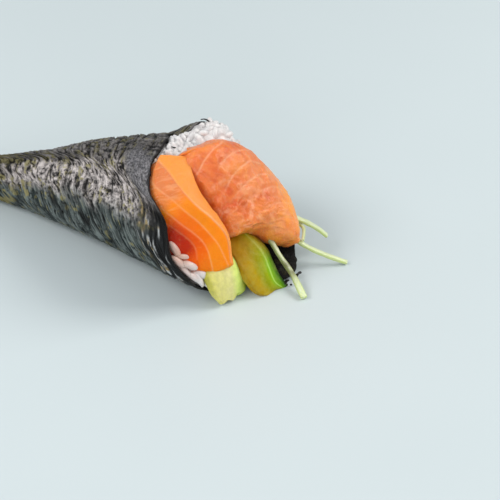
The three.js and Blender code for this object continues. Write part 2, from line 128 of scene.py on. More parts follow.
CUCUMBER = {
    "cucumber_strip_1": (2.5, 1.5, [
        (-6, 13, 17), (4, 15, 15.6), (10.4, 14.2, 12), (15.6, 12.5, 7.8), (21.5, 10.4, 3.8),
        (28.6, 5.1, 0.9)]),
    "cucumber_strip_2": (1.9, 1.2, [
        (-2, 20, 15), (8, 21.4, 12.6), (15.2, 21.8, 9.4), (20, 22.8, 6.8), (25.6, 25.6, 3.6),
        (31.6, 28.9, 0.8)]),
    "cucumber_strip_3": (2.6, 1.1, [
        (-4, 22.6, 18), (6, 25.4, 16), (12, 27, 13.6), (16, 29.4, 11.2), (19, 31.6, 8.4),
        (21.6, 33.4, 5.4)]),
    "cucumber_strip_4": (1.2, 1, [
        (8, 22.6, 12.8), (11, 24.8, 12.2), (13.6, 27.4, 11.4), (15.8, 27.4, 10.4), (17.2, 25.6, 9.8),
        (18.6, 22.4, 9.3)]),
}

# Fat lines across each slice: p, q and strength.
STRIP_FAT_SHARES = (0.34, 0.3, 0.16)
STRIP_TONE_STEPS = (0.19, 0.24, 0.16)
STRIP_FAT = [
    [(-12.5, 21, 1), (-13.7, 17.3, 1), (-13.8, 13.5, 1), (-13.1, 7.2, 1), (-11.5, 1.7, 1),
     (-10.3, -3.4, 1), (-9.4, -8.4, 1), (-9.4, -16, 1)],
    [(-17.4, 14, 0.7), (-16.6, 8.6, 1), (-15.6, 4.1, 1), (-14.3, 0.3, 1), (-13.1, -4, 1),
     (-12.9, -7.6, 1), (-13.3, -10.7, 1), (-13.8, -15, 1)],
    [(-20.5, 10, 0.4), (-18.5, 6.5, 0.9), (-17.4, 2.9, 1), (-16.1, -1.3, 1), (-15.7, -4.5, 1),
     (-16.7, -8, 0.8)],
]
SLICE_FAT = [
    [(-2.4, 12.4, 0.5), (-0.6, 14.1, 1), (2.6, 16.2, 1), (7.6, 17.4, 1), (13.4, 17.1, 1)],
    [(4, 11.4, 0.3), (8.4, 12.6, 1), (12.1, 12.5, 1), (16, 11.4, 1), (19.6, 9.6, 0.8)],
    [(1.5, 4, 0.2), (5, 6.2, 0.9), (6.8, 6.9, 1), (10, 7.5, 1), (13.4, 7.3, 1), (16.1, 6.9, 1),
     (20.6, 3.8, 0.8)],
    [(1.6, 0.4, 0.2), (5.8, 1.8, 0.8), (9, 2.3, 1), (11.5, 2.4, 1), (16.6, 1.4, 0.9),
     (21.6, -1.8, 0.5)],
    [(3, -4.5, 0.2), (7, -2.8, 0.5), (11.4, -2.3, 0.8), (15.8, -3.5, 0.9), (18.6, -4.6, 0.7),
     (23, -8, 0.3)],
    [(8, -8, 0.2), (13, -8.4, 0.5), (18, -10.4, 0.5), (22.4, -13.4, 0.3)],
    [(9.6, -13, 0.2), (14, -14, 0.45), (18, -16.2, 0.4), (21.6, -18.6, 0.2)],
]

# The camera: the point it looks at, its turn and height round that point, distance and lens.
VIEW_POINT = Vector((0.04747, 0.01303, 0))
VIEW_TURN = math.radians(30)
VIEW_HEIGHT = math.radians(35.8)
VIEW_DISTANCE = 0.6167
VIEW_LENS = 133.2

# Lights: place, size, power and colour, all turned toward LIT_POINT.
LIT_POINT = (0.02, 0, 0.02)
LIGHTS = {
    "key": ((0.62, 0.5, 0.66), (0.6, 0.5), 6.8, (1, 0.98, 0.95)),
    "window": ((-0.42, -0.55, 0.7), (0.5, 0.4), 5, (1, 0.98, 0.97)),
    "front": ((0.3, -0.8, 0.32), (0.6, 0.35), 2.2, (1, 0.99, 0.98)),
}
SKY_COLOR = (0.93, 0.97, 1)
SKY_STRENGTH = 0.46
FLOOR_HALF = 3

# ---- Numbers, curves and noise ----


def smoothstep(value, low, high):
    t = np.clip((value - low) / (high - low), 0, 1)
    return t * t * (3 - 2 * t)


def mix(a, b, t):
    return a + (b - a) * t


def hill(value, middle, width):
    """1 at the middle, falling away smoothly over the width."""
    return np.exp(-(((value - middle) / width) ** 2))


def on_plane(first, second):
    return np.stack([first, second, 0 * first], -1)


def smooth_curve(pairs):
    """A smooth curve y(x) through (x, y) pairs, each slope taken from the two neighbours."""
    xs, ys = np.array(pairs, float).T
    before = np.maximum(np.arange(len(xs)) - 1, 0)
    after = np.minimum(np.arange(len(xs)) + 1, len(xs) - 1)
    slopes = (ys[after] - ys[before]) / (xs[after] - xs[before])

    def curve(x):
        index = np.clip(np.searchsorted(xs, x) - 1, 0, len(xs) - 2)
        span = xs[index + 1] - xs[index]
        t = np.clip((x - xs[index]) / span, 0, 1)
        bend = (3 - 2 * t) * t * t
        lean = t * (1 - t) * span
        rise = (ys[index + 1] - ys[index]) * bend
        return ys[index] + rise + lean * ((1 - t) * slopes[index] - t * slopes[index + 1])

    return curve


def smooth_rail(points):
    """The same for rows of numbers, spaced evenly over t from 0 to 1."""
    places = np.linspace(0, 1, len(points))
    curves = [smooth_curve(list(zip(places, column))) for column in np.array(points, float).T]
    return lambda t: np.stack([curve(np.asarray(t, float)) for curve in curves], -1)


NOISE_SIDE = 32
noise_table = np.random.default_rng(11).uniform(-1, 1, (NOISE_SIDE, NOISE_SIDE, NOISE_SIDE))


def noise(points, size, seed):
    """Smooth noise from -1 to 1 whose blobs are about size across. size may be one per axis."""
    cells = np.asarray(points, float) / size + 7.31 * seed
    base = np.floor(cells)
    part = cells - base
    part = part * part * (3 - 2 * part)
    base = base.astype(int)
    total = 0
    for corner in np.ndindex(2, 2, 2):
        weight = np.prod(np.where(np.array(corner) == 1, part, 1 - part), -1)
        i, j, k = np.moveaxis((base + corner) % NOISE_SIDE, -1, 0)
        total = total + weight * noise_table[i, j, k]
    return total


def ridges(points, size, seed):
    """Noise with sharp crests, from 0 to 1."""
    return 1 - np.abs(np.clip(1.6 * noise(points, size, seed), -1, 1))


def threads(points, size, seed, width):
    """1 on thin wandering lines, whose length and spacing follow size."""
    return hill(noise(points, size, seed), 0, width)


def patches(points, size, seed, low, high):
    """1 in scattered patches, whose edges are where the noise is from low to high."""
    return smoothstep(noise(points, size, seed), low, high)


# ---- Meshes ----

nori_points = np.array([v.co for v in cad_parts["nori_wrap"].data.vertices])


def grid_faces(rows, columns):
    """Quads of a tube of rings, with a pole before the first ring and one after the last."""
    row, column = np.meshgrid(np.arange(rows - 1), np.arange(columns), indexing="ij")
    low, ahead = row * columns, (column + 1) % columns
    quads = np.stack([low + column, low + ahead, low + columns + ahead, low + columns + column], -1)
    start, end, last = rows * columns, rows * columns + 1, (rows - 1) * columns
    fans = [(start, (c + 1) % columns, c) for c in range(columns)]
    fans += [(end, last + c, last + (c + 1) % columns) for c in range(columns)]
    return quads.reshape(-1, 4).tolist() + fans


def to_part(points):
    """Millimetres in the roll's frame to metres in the part's frame."""
    return (np.asarray(points, float) + ROLL_SHIFT) * MM


def new_object(name, data):
    made = bpy.data.objects.new(name, data)
    bpy.context.scene.collection.objects.link(made)
    return made


def mesh_object(name, points, faces, material, attributes):
    mesh = bpy.data.meshes.new(name)
    mesh.from_pydata(to_part(points).tolist(), [], faces)
    mesh.materials.append(material)
    mesh.polygons.foreach_set("use_smooth", [True] * len(mesh.polygons))
    for key, values in attributes.items():
        values = np.asarray(values, np.float32)
        kind, field = ("FLOAT", "value") if values.ndim == 1 else ("FLOAT_VECTOR", "vector")
        mesh.attributes.new(key, kind, "POINT").data.foreach_set(field, values.ravel())
    mesh.update()
    return new_object(name, mesh)


def lifted(points, lowest):
    """The points with none of them lower than this above the floor."""
    return np.maximum(points, [-np.inf, -np.inf, lowest])


def unit(vectors):
    return vectors / np.maximum(np.linalg.norm(vectors, axis=-1, keepdims=True), 1e-12)


def normals_of(points, faces):
    """Unit normals at the points of a mesh of quads and triangles."""
    corners = np.array([(*face, face[-1])[:4] for face in faces])
    a, b, c, d = np.moveaxis(points[corners], 1, 0)
    across = np.cross(c - a, d - b)
    normals = np.zeros_like(points)
    np.add.at(normals, corners[:, :3], across[:, None])
    quads = corners[:, 3] != corners[:, 2]
    np.add.at(normals, corners[quads, 3], across[quads])
    return unit(normals)


# ---- Lofts ----


def cut_corners(rings, shares):
    """Rounds closed rings, an array of rows by points by 3, by cutting their corners."""
    for share in shares:
        ahead = np.roll(rings, -1, axis=1)
        pair = np.stack([mix(rings, ahead, share), mix(rings, ahead, 1 - share)], 2)
        rings = pair.reshape(len(rings), -1, 3)
    return rings


def spaced(rings, count):
    """The same rings with count points evenly spaced on each."""
    result = []
    for ring in rings:
        closed = np.vstack([ring, ring[:1]])
        steps = np.linalg.norm(np.diff(closed, axis=0), axis=1)
        places = np.concatenate([[0], np.cumsum(steps)])
        wanted = np.linspace(0, places[-1], count, endpoint=False)
        result.append(np.stack([np.interp(wanted, places, column) for column in closed.T], -1))
    return np.array(result)


def loft(rings, bulge, caps=10):
    """Points, faces and normals of closed rings with rounded ends that stand out by bulge."""

    def cap(ring, neighbour):
        middle = ring.mean(0)
        outward = unit(middle - neighbour.mean(0)) * bulge
        angles = np.linspace(0, np.pi / 2, caps + 1)[1:-1]
        made = [mix(ring, middle, 1 - np.cos(a) ** 0.6) + outward * np.sin(a) for a in angles]
        return made, middle + outward

    first, start = cap(rings[0], rings[1])
    last, end = cap(rings[-1], rings[-2])
    points = np.vstack(first[::-1] + list(rings) + last + [[start], [end]])
    faces = grid_faces(len(rings) + 2 * len(first), rings.shape[1])
    return points, faces, normals_of(points, faces)


def along_loft(points, around):
    """For each point of a loft, its share of the way along and its ring place's value in around."""
    count = (len(points) - 2) // len(around)
    row = np.append(np.repeat(np.arange(count), len(around)), [0, count]) / count
    return row, np.append(np.tile(around, count), [0, 0])


def swept(path, along, across, wide, high):
    """Rings on a path: wide and high place their points across its heading and above it."""
    up = np.cross(along, across)
    return path[:, None] + across[:, None] * wide[..., None] + up[:, None] * high[..., None]


def heading(rail, t, step=0.02):
    """The unit direction of a rail at each t."""
    return unit(rail(np.minimum(t + step, 1)) - rail(np.maximum(t - step, 0)))


# ---- The roll's frame and the mouth's frame ----

cone_radius = smooth_curve(CONE_RADIUS)
cone_drift = smooth_curve(CONE_DRIFT)
rim_curve = smooth_curve(RIM)

# The tip of the wrap is at a known place in both frames.
tip_in_part = nori_points[nori_points[:, 0].argmin()] / MM
ROLL_SHIFT = np.array([tip_in_part[0] - (TIP_X - TIP_CAP), tip_in_part[1] - cone_drift(TIP_X), 0])

mouth_out = unit(MOUTH_NORMAL)
mouth_across = unit(np.array([0, 1, 0]) - mouth_out[1] * mouth_out)
mouth_axes = np.array([mouth_across, np.cross(mouth_out, mouth_across), mouth_out])


def mouth_point(pqw):
    """From the mouth's frame, p across, q up its slope and w out of it, to the roll's."""
    return MOUTH_CENTRE + np.asarray(pqw, float) @ mouth_axes


def to_mouth(points):
    return (np.asarray(points, float) - MOUTH_CENTRE) @ mouth_axes.T


# ---- The cone ----


def rim_x(angle):
    """How far along the cone its rim is, at an angle round it in degrees."""
    first = RIM[0][0]
    return rim_curve(first + (angle - first) % 360)


def flare(x, angle):
    """How much wider the free corner of the sheet stands near the seam."""
    short = SEAM_ANGLE - (SEAM_ANGLE - angle) % 360
    near_rim = smoothstep(x, rim_x(angle) - FLARE_REACH, rim_x(angle))
    near_seam = smoothstep(SEAM_ANGLE - short, 0, FLARE_FADE)
    return 1 + FLARE * hill(short, FLARE_ANGLE, FLARE_WIDTH) * near_rim * near_seam


def seam_turn(x, angle):
    """The angle turned with the seam, which winds round the cone toward the tip."""
    share = (x - TIP_X) / (rim_x(angle) - TIP_X)
    return angle - SEAM_TWIST * (1 - np.clip(share, 0, 1))


def cone_point(x, angle, inset):
    """A place on the cone, or this far inside its outer face."""
    radius, swell = cone_radius(x), flare(x, angle)
    turn = np.radians(seam_turn(x, angle))
    y = cone_drift(x) + (CONE_WIDE * radius * swell - inset) * np.cos(turn)
    z = CONE_HIGH * radius + (CONE_HIGH * radius * swell - inset) * np.sin(turn) - SINK
    return np.stack([x + 0 * z, y, np.maximum(z, inset)], -1)


def hollow_end(past):
    """The point in the middle of the hollow's closed end, moved on toward the tip by past."""
    return [CAVITY_X - past, cone_drift(CAVITY_X), CONE_HIGH * cone_radius(CAVITY_X)]


def keep_inside(points, clearance):
    """The points, with what would go through the wrap pressed against its inner face."""
    x, y, z = points.T
    middle_y, middle_z = cone_drift(x), CONE_HIGH * cone_radius(x) - SINK
    turn = np.arctan2(z - middle_z, y - middle_y)
    angle = np.degrees(turn) % 360
    angle = angle + angle - seam_turn(x, angle)
    past = np.maximum(x - rim_x(angle) - RIM_REACH, 0)
    radius = cone_radius(x) * flare(x, angle)
    limit = radius * np.hypot(CONE_WIDE * np.cos(turn), CONE_HIGH * np.sin(turn)) - WALL - clearance
    reach = np.hypot(y - middle_y, z - middle_z)
    kept = np.minimum(reach, limit + SPILL * past) / np.maximum(reach, 1e-9)
    return np.stack([x, middle_y + (y - middle_y) * kept, middle_z + (z - middle_z) * kept], -1)


# ---- Materials ----

# Tones run from the palest flesh of the salmon to the deepest, from the inside of the avocado
# to its skin, and from one side of a strip of cucumber to the other.
STRIP_TONES = [
    (0, (0.86, 0.31, 0.065)), (0.08, (0.84, 0.29, 0.065)), (0.17, (0.64, 0.19, 0.07)),
    (0.32, (0.95, 0.265, 0.008)), (0.52, (0.88, 0.168, 0.004)), (0.76, (0.78, 0.1, 0.003)),
    (1, (0.48, 0.022, 0.001)),
]
SLICE_TONES = [
    (0, (0.92, 0.325, 0.04)), (0.35, (0.78, 0.235, 0.05)), (0.65, (0.72, 0.175, 0.038)),
    (1, (0.58, 0.08, 0.012)),
]
# The bright green of the near wedge's skin band is partly painted highlight.
NEAR_TONES = [
    (0, (0.42, 0.4, 0.07)), (0.1, (0.6, 0.56, 0.18)), (0.44, (0.66, 0.62, 0.27)),
    (0.54, (0.64, 0.7, 0.22)), (0.6, (0.66, 0.82, 0.2)), (0.82, (0.62, 0.82, 0.13)),
    (1, (0.2, 0.4, 0.01)),
]
# On the far wedge the pale stop at 0.55 draws a painted highlight along the ridge of the skin side.
FAR_TONES = [
    (0, (0.34, 0.2, 0.002)), (0.2, (0.42, 0.275, 0.002)), (0.36, (0.25, 0.27, 0.001)),
    (0.45, (0.28, 0.34, 0.003)), (0.52, (0.2, 0.38, 0.003)), (0.55, (0.4, 0.62, 0.11)),
    (0.58, (0.17, 0.36, 0.008)), (0.66, (0.09, 0.24, 0.004)), (0.78, (0.05, 0.15, 0.002)),
    (1, (0.02, 0.06, 0.001)),
]
CUCUMBER_TONES = [
    (0, (0.5, 0.58, 0.26)), (0.3, (0.7, 0.77, 0.52)), (0.75, (0.68, 0.75, 0.46)),
    (1, (0.42, 0.54, 0.13)),
]


def node(tree, kind, **values):
    """A shader node with its inputs and settings given by name."""
    made = tree.nodes.new("ShaderNode" + kind)
    for key, value in values.items():
        if hasattr(made, key):
            setattr(made, key, value)
        else:
            feed(made.inputs[key.replace("_", " ")], value)
    return made


def feed(socket, value):
    """Gives a socket a link, a number or a color."""
    if isinstance(value, bpy.types.NodeSocket):
        value.id_data.links.new(value, socket)
    elif isinstance(value, tuple) and socket.type == "RGBA":
        socket.default_value = (*value, 1)
    else:
        socket.default_value = value


def new_material(name, roughness, **values):
    """A new material with its shader's plain numbers set."""
    material = bpy.data.materials.new(name)
    material.use_nodes = True
    tree = material.node_tree
    shader = tree.nodes.get("Principled BSDF")
    shader.inputs["Roughness"].default_value = roughness
    for key, value in values.items():
        shader.inputs[key.replace("_", " ")].default_value = value
    return material, tree, shader


def attribute(tree, name, output="Fac"):
    return node(tree, "Attribute", attribute_name=name).outputs[output]


def object_place(tree):
    return node(tree, "TexCoord").outputs["Object"]


# The helpers below work in the node tree of the first socket they are given.


def ramp(factor, stops):
    made = node(factor.id_data, "ValToRGB", Fac=factor)
    elements = made.color_ramp.elements
    while len(elements) < len(stops):
        elements.new(0.5)
    for element, (place, color) in zip(elements, stops):
        element.position = place
        element.color = (*color, 1)
    return made.outputs["Color"]


def blend(factor, first, second, mode="MIX"):
    made = node(factor.id_data, "Mix", data_type="RGBA", blend_type=mode)
    color_sockets = made.inputs[6], made.inputs[7]
    for socket, value in zip((made.inputs["Factor"], *color_sockets), (factor, first, second)):
        feed(socket, value)
    return made.outputs[2]


def math_node(operation, first, second=0, third=0):
    made = node(first.id_data, "Math", operation=operation)
    for socket, value in zip(made.inputs, (first, second, third)):
        feed(socket, value)
    return made.outputs[0]


def times(first, second):
    return math_node("MULTIPLY", first, second)


def plus(first, second):
    return math_node("ADD", first, second)


def scaled(value, size, lift):
    return math_node("MULTIPLY_ADD", value, size, lift)


def grain_noise(vector, scale, detail=3, rough=0.6, stretch=None):
    if stretch:
        vector = node(vector.id_data, "Mapping", Vector=vector, Scale=stretch).outputs[0]
    values = {"Vector": vector, "Scale": scale, "Detail": detail, "Roughness": rough}
    return node(vector.id_data, "TexNoise", **values).outputs["Fac"]


def spread(value, low, high):
    """value from low..high to 0..1, clamped."""
    made = node(value.id_data, "MapRange", Value=value)
    made.inputs["From Min"].default_value = low
    made.inputs["From Max"].default_value = high
    return made.outputs[0]


def bump(shader, height, distance, strength=1, before=None):
    made = node(height.id_data, "Bump", Height=height, Distance=distance, Strength=strength)
    if before:
        feed(made.inputs["Normal"], before)
    feed(shader.inputs["Normal"], made.outputs[0])
    feed(shader.inputs["Coat Normal"], made.outputs[0])
    return made.outputs[0]


def nori_material():
    """Colour follows the marks on the mesh: lower is the underside, whose darker blue green is
    painted shade, and calm the smooth patch at the rim. A third mark is how much painted light a
    place has: painted sheen on the lit band, painted shade elsewhere."""
    material, tree, shader = new_material("nori", 0.4, Specular_IOR_Level=0.2)
    sheet = attribute(tree, "sheet", "Vector")
    lower, calm, painted_sheen = (attribute(tree, key) for key in ("lower", "calm", "painted_sheen"))
    speckle = grain_noise(sheet, 1.3, 3, 0.65)
    strokes = grain_noise(sheet, 1, 3, 0.65, stretch=(1.5, 0.22, 1))
    fine = blend(times(lower, 0.8), speckle, strokes)
    shift = scaled(fine, 2.2, -1.1)
    pale = spread(plus(attribute(tree, "pale"), shift), 0.1, 0.9)
    olive = times(spread(plus(attribute(tree, "olive"), shift), 0.3, 0.7), 0.85)
    gold = spread(attribute(tree, "olive"), 0, 0.35)

    # Each colour comes in a shaded and a lit version, blended by the sheen mark: painted sheen on the
    # lit band, painted shade elsewhere.
    upper_base = blend(painted_sheen, (0.012, 0.011, 0.011), (0.04, 0.036, 0.036))
    upper_light = blend(painted_sheen, (0.1, 0.095, 0.093), (0.66, 0.6, 0.58))
    # The underside's darker blue green colours are painted shade.
    lower_light = blend(painted_sheen, (0.085, 0.115, 0.115), (0.185, 0.215, 0.205))
    base = blend(lower, upper_base, (0.012, 0.02, 0.02))
    # On the lit band pale patches take the bright colour, as painted highlights on the crinkles;
    # elsewhere they are the sheet's own paler flecks.
    color = blend(pale, base, blend(lower, upper_light, lower_light))
    color = blend(olive, color, blend(painted_sheen, (0.12, 0.105, 0.035), (0.36, 0.32, 0.13)))
    smooth = blend(spread(fine, 0.38, 0.62), (0.06, 0.06, 0.067), (0.27, 0.265, 0.285))
    color = blend(calm, color, smooth)
    # The gathered pleats near the rim are painted near black, as shade in their folds.
    color = blend(attribute(tree, "pleat"), color, (0.008, 0.008, 0.009))
    # Glints on the pleats are painted highlights, gold where the sheet is olive.
    shiny = blend(gold, (0.66, 0.68, 0.68), (0.66, 0.48, 0.22))
    color = blend(attribute(tree, "glint"), color, shiny)
    # The dark mark paints shade into cracks, hollows and creases, and darkens the rim's edge.
    color = blend(attribute(tree, "dark"), color, (0.002, 0.002, 0.002))
    feed(shader.inputs["Base Color"], color)
    feed(shader.inputs["Roughness"], scaled(fine, 0.5, 0.27))
    grain = bump(shader, grain_noise(sheet, 2.4, 3, 0.7), 0.0003, 0.6)
    bump(shader, plus(times(pale, 0.7), fine), 0.0006, 0.9, before=grain)
    return material


def rice_material():
    material, tree, shader = new_material(
        "rice", 0.34, Coat_Weight=0.1, Coat_Roughness=0.15, IOR=1.4,
        Subsurface_Weight=0.4, Subsurface_Scale=0.0006, Subsurface_Radius=(1, 0.95, 0.95))
    place = object_place(tree)
    milk = grain_noise(place, 700)
    color = ramp(milk, [(0.3, (0.58, 0.56, 0.57)), (0.5, (0.68, 0.665, 0.66)),
                        (0.7, (0.78, 0.77, 0.76))])
    # The pink tint is salmon colour beside the near slice; below that slice it is painted shade as
    # well.
    color = blend(attribute(tree, "salmon_tint_and_shade"), color, (0.6, 0.35, 0.26))
    feed(shader.inputs["Base Color"], color)
    bump(shader, grain_noise(place, 1100), 0.0001, 0.5)
    return material


def salmon_material(name, tones, fat_and_glint_color, radius, shine, wet):
    """radius is how far each colour of light spreads in the flesh, and wet its moist coat."""
    material, tree, shader = new_material(
        name, 0.36, Specular_IOR_Level=shine, Coat_Weight=wet, Coat_Roughness=0.1, IOR=1.38,
        Subsurface_Weight=0.4, Subsurface_Scale=0.002, Subsurface_Radius=radius)
    place = object_place(tree)
    color = ramp(attribute(tree, "tone"), tones)
    cloud = spread(grain_noise(place, 230, 5, 0.65), 0.3, 0.7)
    color = blend(times(cloud, 0.35), color, fat_and_glint_color, "SOFT_LIGHT")
    strands = grain_noise(attribute(tree, "fibre", "Vector"), 1, 4, 0.65, stretch=(0.9, 0.5, 0.7))
    color = blend(times(spread(strands, 0.56, 0.72), 0.2), color, (0.9, 0.34, 0.07))
    # Besides fat lines, the fat mark carries painted highlights: the crest line of the near slice, and
    # the fold crests and wet glints of the broad slice.
    color = blend(attribute(tree, "fat_and_glint"), color, fat_and_glint_color)
    feed(shader.inputs["Base Color"], color)
    rough = spread(grain_noise(place, 500), 0.3, 0.7)
    feed(shader.inputs["Roughness"], scaled(rough, 0.2, 0.26))
    grain = bump(shader, strands, 0.0004, 0.5)
    bump(shader, grain_noise(place, 1150), 0.0002 + 0.0005 * wet, 0.8, before=grain)
    return material


def avocado_material(name, tones, mottled):
    """tones run across the wedge, from the inside of the fruit to its skin."""
    material, tree, shader = new_material(
        name, 0.45, Specular_IOR_Level=0.2, Coat_Weight=0.06, Coat_Roughness=0.15, IOR=1.4,
        Subsurface_Weight=0.25, Subsurface_Scale=0.0012, Subsurface_Radius=(1, 0.95, 0.2))
    place = object_place(tree)
    wander = scaled(grain_noise(place, 240), 0.04, -0.02)
    color = ramp(plus(attribute(tree, "across"), wander), tones)
    mottle = spread(grain_noise(place, 520, 4, 0.65), 0.42, 0.62)
    color = blend(times(mottle, mottled), color, (0.95, 0.92, 0.66), "SOFT_LIGHT")
    ripe = spread(grain_noise(place, 300), 0.45, 0.7)
    color = blend(times(ripe, 0.3), color, (0.42, 0.44, 0.1))
    color = blend(attribute(tree, "brown_and_shade"), color, (0.34, 0.14, 0.004))
    feed(shader.inputs["Base Color"], color)
    grain = bump(shader, grain_noise(place, 420), 0.0003, 0.5)
    bump(shader, grain_noise(place, 1500), 0.00015, 0.5, before=grain)
    return material


def cucumber_material():
    material, tree, shader = new_material(
        "cucumber", 0.3, Coat_Weight=0.3, Coat_Roughness=0.12, IOR=1.38,
        Subsurface_Weight=0.6, Subsurface_Scale=0.002, Subsurface_Radius=(0.9, 1, 0.5))
    place = object_place(tree)
    color = ramp(attribute(tree, "across"), CUCUMBER_TONES)
    cloud = spread(grain_noise(place, 500), 0.35, 0.7)
    color = blend(times(cloud, 0.5), color, (0.54, 0.62, 0.3))
    # The dark brown tint, used on the first strip, is painted shade with the dark nori seen through the
    # strip.
    color = blend(attribute(tree, "brown_and_shade"), color, (0.09, 0.08, 0.015))
    feed(shader.inputs["Base Color"], color)
    bump(shader, grain_noise(place, 900), 0.00015, 0.5)
    return material


def floor_material():
    material, tree, shader = new_material("floor", 0.5)
    cloud = grain_noise(object_place(tree), 6, 2)
    color = ramp(cloud, [(0.3, (0.55, 0.622, 0.64)), (0.7, (0.57, 0.642, 0.66))])
    feed(shader.inputs["Base Color"], color)
    return material


# ---- Nori ----

NORI_AROUND = 400
NORI_ALONG = 360
NORI_INSIDE = 60
RING_POWER = 0.9  # under 1, so that rings are closer together near the rim
SEAM_GAP = 0.3
THIN_RIM = 0.5
THIN_REACH = 6
RIM_STEP = 0.4  # millimetres round the rim for each degree

# Where the sheet changes, from not at all to fully: degrees round the cone, turned with the
# seam or, for the patches at the rim, straight; millimetres back from the rim; share of the
# way from the tip.
# UNDERSIDE is where the underside's painted shade begins, and LIT where the band of painted sheen
# begins.
UNDERSIDE = (146, 172)
LIT = (104, 124)
LIT_END = (350, 310)
BACK = (235, 290)
CALM_BACK, CALM_FROM, CALM_TO = (15, 10), (100, 116), (158, 144)
FAN_BACK, FAN_TO = (24, 8), (130, 104)
PLEATS_BACK, PLEATS_FROM, PLEATS_TO = (17, 5), (143, 158), (250, 215)
TIPWARD = (0.56, 0.2)


def nori_marks(x, angle, share):
    """Places on the sheet, its relief in millimetres, and how pale, dark and so on it is there.

    Sizes of noise run away from the rim and then round the cone, in millimetres.
    """
    turn = seam_turn(x, angle)
    to_rim = rim_x(angle) - x
    round_cone = np.radians(turn - 140) * cone_radius(x)
    behind = 0.85 * smoothstep(angle, *BACK)
    # Wrinkles run alongside the rim, and behind they run round the cone.
    skewed = on_plane(mix(to_rim, 8 - x, behind), round_cone)
    place = skewed + 0.8 * on_plane(noise(skewed, 3.2, 21), 1.3 * noise(skewed, 3.2, 22))

    def long_zone(zone, seed):
        wander = 9 * noise(place, (6, 9, 1), seed) + 4 * noise(place, 1.6, seed + 10)
        return smoothstep(turn + wander, *zone) * smoothstep(turn, *LIT_END)

    # lower is the underside, painted darker and blue green as shade; band is the lit band of painted
    # sheen.
    lower, band = long_zone(UNDERSIDE, 25), long_zone(LIT, 26)
    calm = smoothstep(to_rim + 2.2 * noise(place, 4, 27), *CALM_BACK)
    calm = calm * smoothstep(angle, *CALM_FROM)
    calm = calm * smoothstep(angle + 7 * noise(place, 4, 28), *CALM_TO)
    fan = smoothstep(to_rim, *FAN_BACK) * smoothstep(angle, *FAN_TO)
    # gathered is the pleated zone near the rim, painted near black as shade in its folds.
    gathered = smoothstep(to_rim + 4 * noise(place, (4, 9, 1), 29), *PLEATS_BACK)
    gathered = gathered * smoothstep(angle, *PLEATS_FROM) * smoothstep(angle, *PLEATS_TO)
    tipward = smoothstep(share, *TIPWARD)

    blob = 0.5 * noise(place, (1.9, 1.7, 1), 2) + 0.6 * noise(place, 0.9, 3)
    blob = blob + 0.25 * patches(place, 0.9, 37, 0.3, 0.65)
    long = threads(place, (2.4, 5, 1), 5, 0.1) * patches(place, (4, 7, 1), 7, -0.05, 0.15)
    short = threads(place, (1.3, 2.2, 1), 6, 0.11) * patches(place, (3, 4, 1), 8, 0, 0.25)
    cracks = np.maximum(long, 0.85 * short)
    streak = 0.5 * noise(place, (1, 6, 1), 9) + 0.6 * noise(place, (0.65, 3.5, 1), 10)
    gaps = threads(place, (1.6, 10, 1), 11, 0.12) * patches(place, (4, 9, 1), 12, -0.25, 0.2)
    pleat = 0.5 * noise(place, (1.1, 7, 1), 13) + 0.6 * noise(place, (0.6, 3.6, 1), 14)
    rays = noise(on_plane(angle * 0.42 - 0.3 * to_rim, 0.1 * x), 0.9, 15)

    free = (1 - calm) * (1 - gathered)
    relief = 0.3 * noise(skewed, 13, 1) + free * (1 - 0.6 * lower) * (0.32 * blob - 0.6 * cracks)
    relief = relief + free * (0.1 + 0.26 * lower) * streak - 0.45 * free * lower * gaps
    relief = relief + 0.7 * gathered * pleat + 0.12 * fan * rays + 0.06 * calm * blob
    pale = mix(0.6 + 0.85 * blob, 0.42 + 1.05 * streak, 0.85 * lower)
    pale = mix(pale, 0.5 + 1.05 * rays, 0.7 * fan)
    olive = 0.75 * noise(place, (1.3, 1.8, 1), 16) + 0.55 * tipward - 0.1 * lower * (1 - tipward)
    olive = olive + 0.1 * (1 - band) * (1 - fan)
    # dark is painted shade in the cracks, gaps and low hollows of the crinkles, in the valleys of the
    # pleats and in the creases of the smooth patch; it also draws a dark line along the torn rim.
    dark = np.maximum((1 - 0.6 * lower) * cracks, lower * gaps) * (1 - calm) * (1 - 0.5 * gathered)
    dark = np.maximum(dark, 0.8 * smoothstep(blob, -0.34, -0.55) * free)
    dark = np.maximum(dark, 0.95 * gathered * smoothstep(pleat, 0.04, -0.1))
    creases = smoothstep(threads(place, (1.6, 2.6, 1), 38, 0.1), 0.4, 0.9)
    creases = creases * patches(place, 3, 39, 0.1, 0.4)
    edge = smoothstep(to_rim + 0.7 * noise(place, 1.5, 40), 0.9, 0.2)
    dark = np.maximum(dark, np.maximum(0.7 * calm * creases, 0.8 * edge))
    # Glints are painted highlights on the crests of the pleats.
    glint = gathered * smoothstep(pleat, 0.12, 0.3) * smoothstep(to_rim, 0.6, 2.5)
    glint = glint * patches(place, (1, 3, 1), 17, -0.4, 0.1)
    # The sheen mark is how much painted light a place has: most on the lit band, less on the underside
    # and toward the tip.
    marks = {
        "pale": pale, "olive": olive, "dark": dark, "lower": lower, "calm": 0.9 * calm,
        "painted_sheen": 0.18 + 0.82 * band * (1 - 0.25 * lower) * (1 - 0.5 * tipward),
        "pleat": 0.94 * gathered, "glint": 0.85 * glint,
    }
    return skewed, relief * smoothstep(share, 0, 0.06), marks


def ragged_edge(angle):
    """How far the torn rim stands out from its smooth line."""
    place = on_plane(angle * RIM_STEP, 0 * angle)
    return 0.45 * noise(place, 1, 8) + 0.35 * noise(place, 3.5, 9)


def rows_and_angles(shares, angles):
    """The share and the angle of each point, with one ring of points for each share."""
    return (grid.ravel() for grid in np.meshgrid(shares, angles, indexing="ij"))


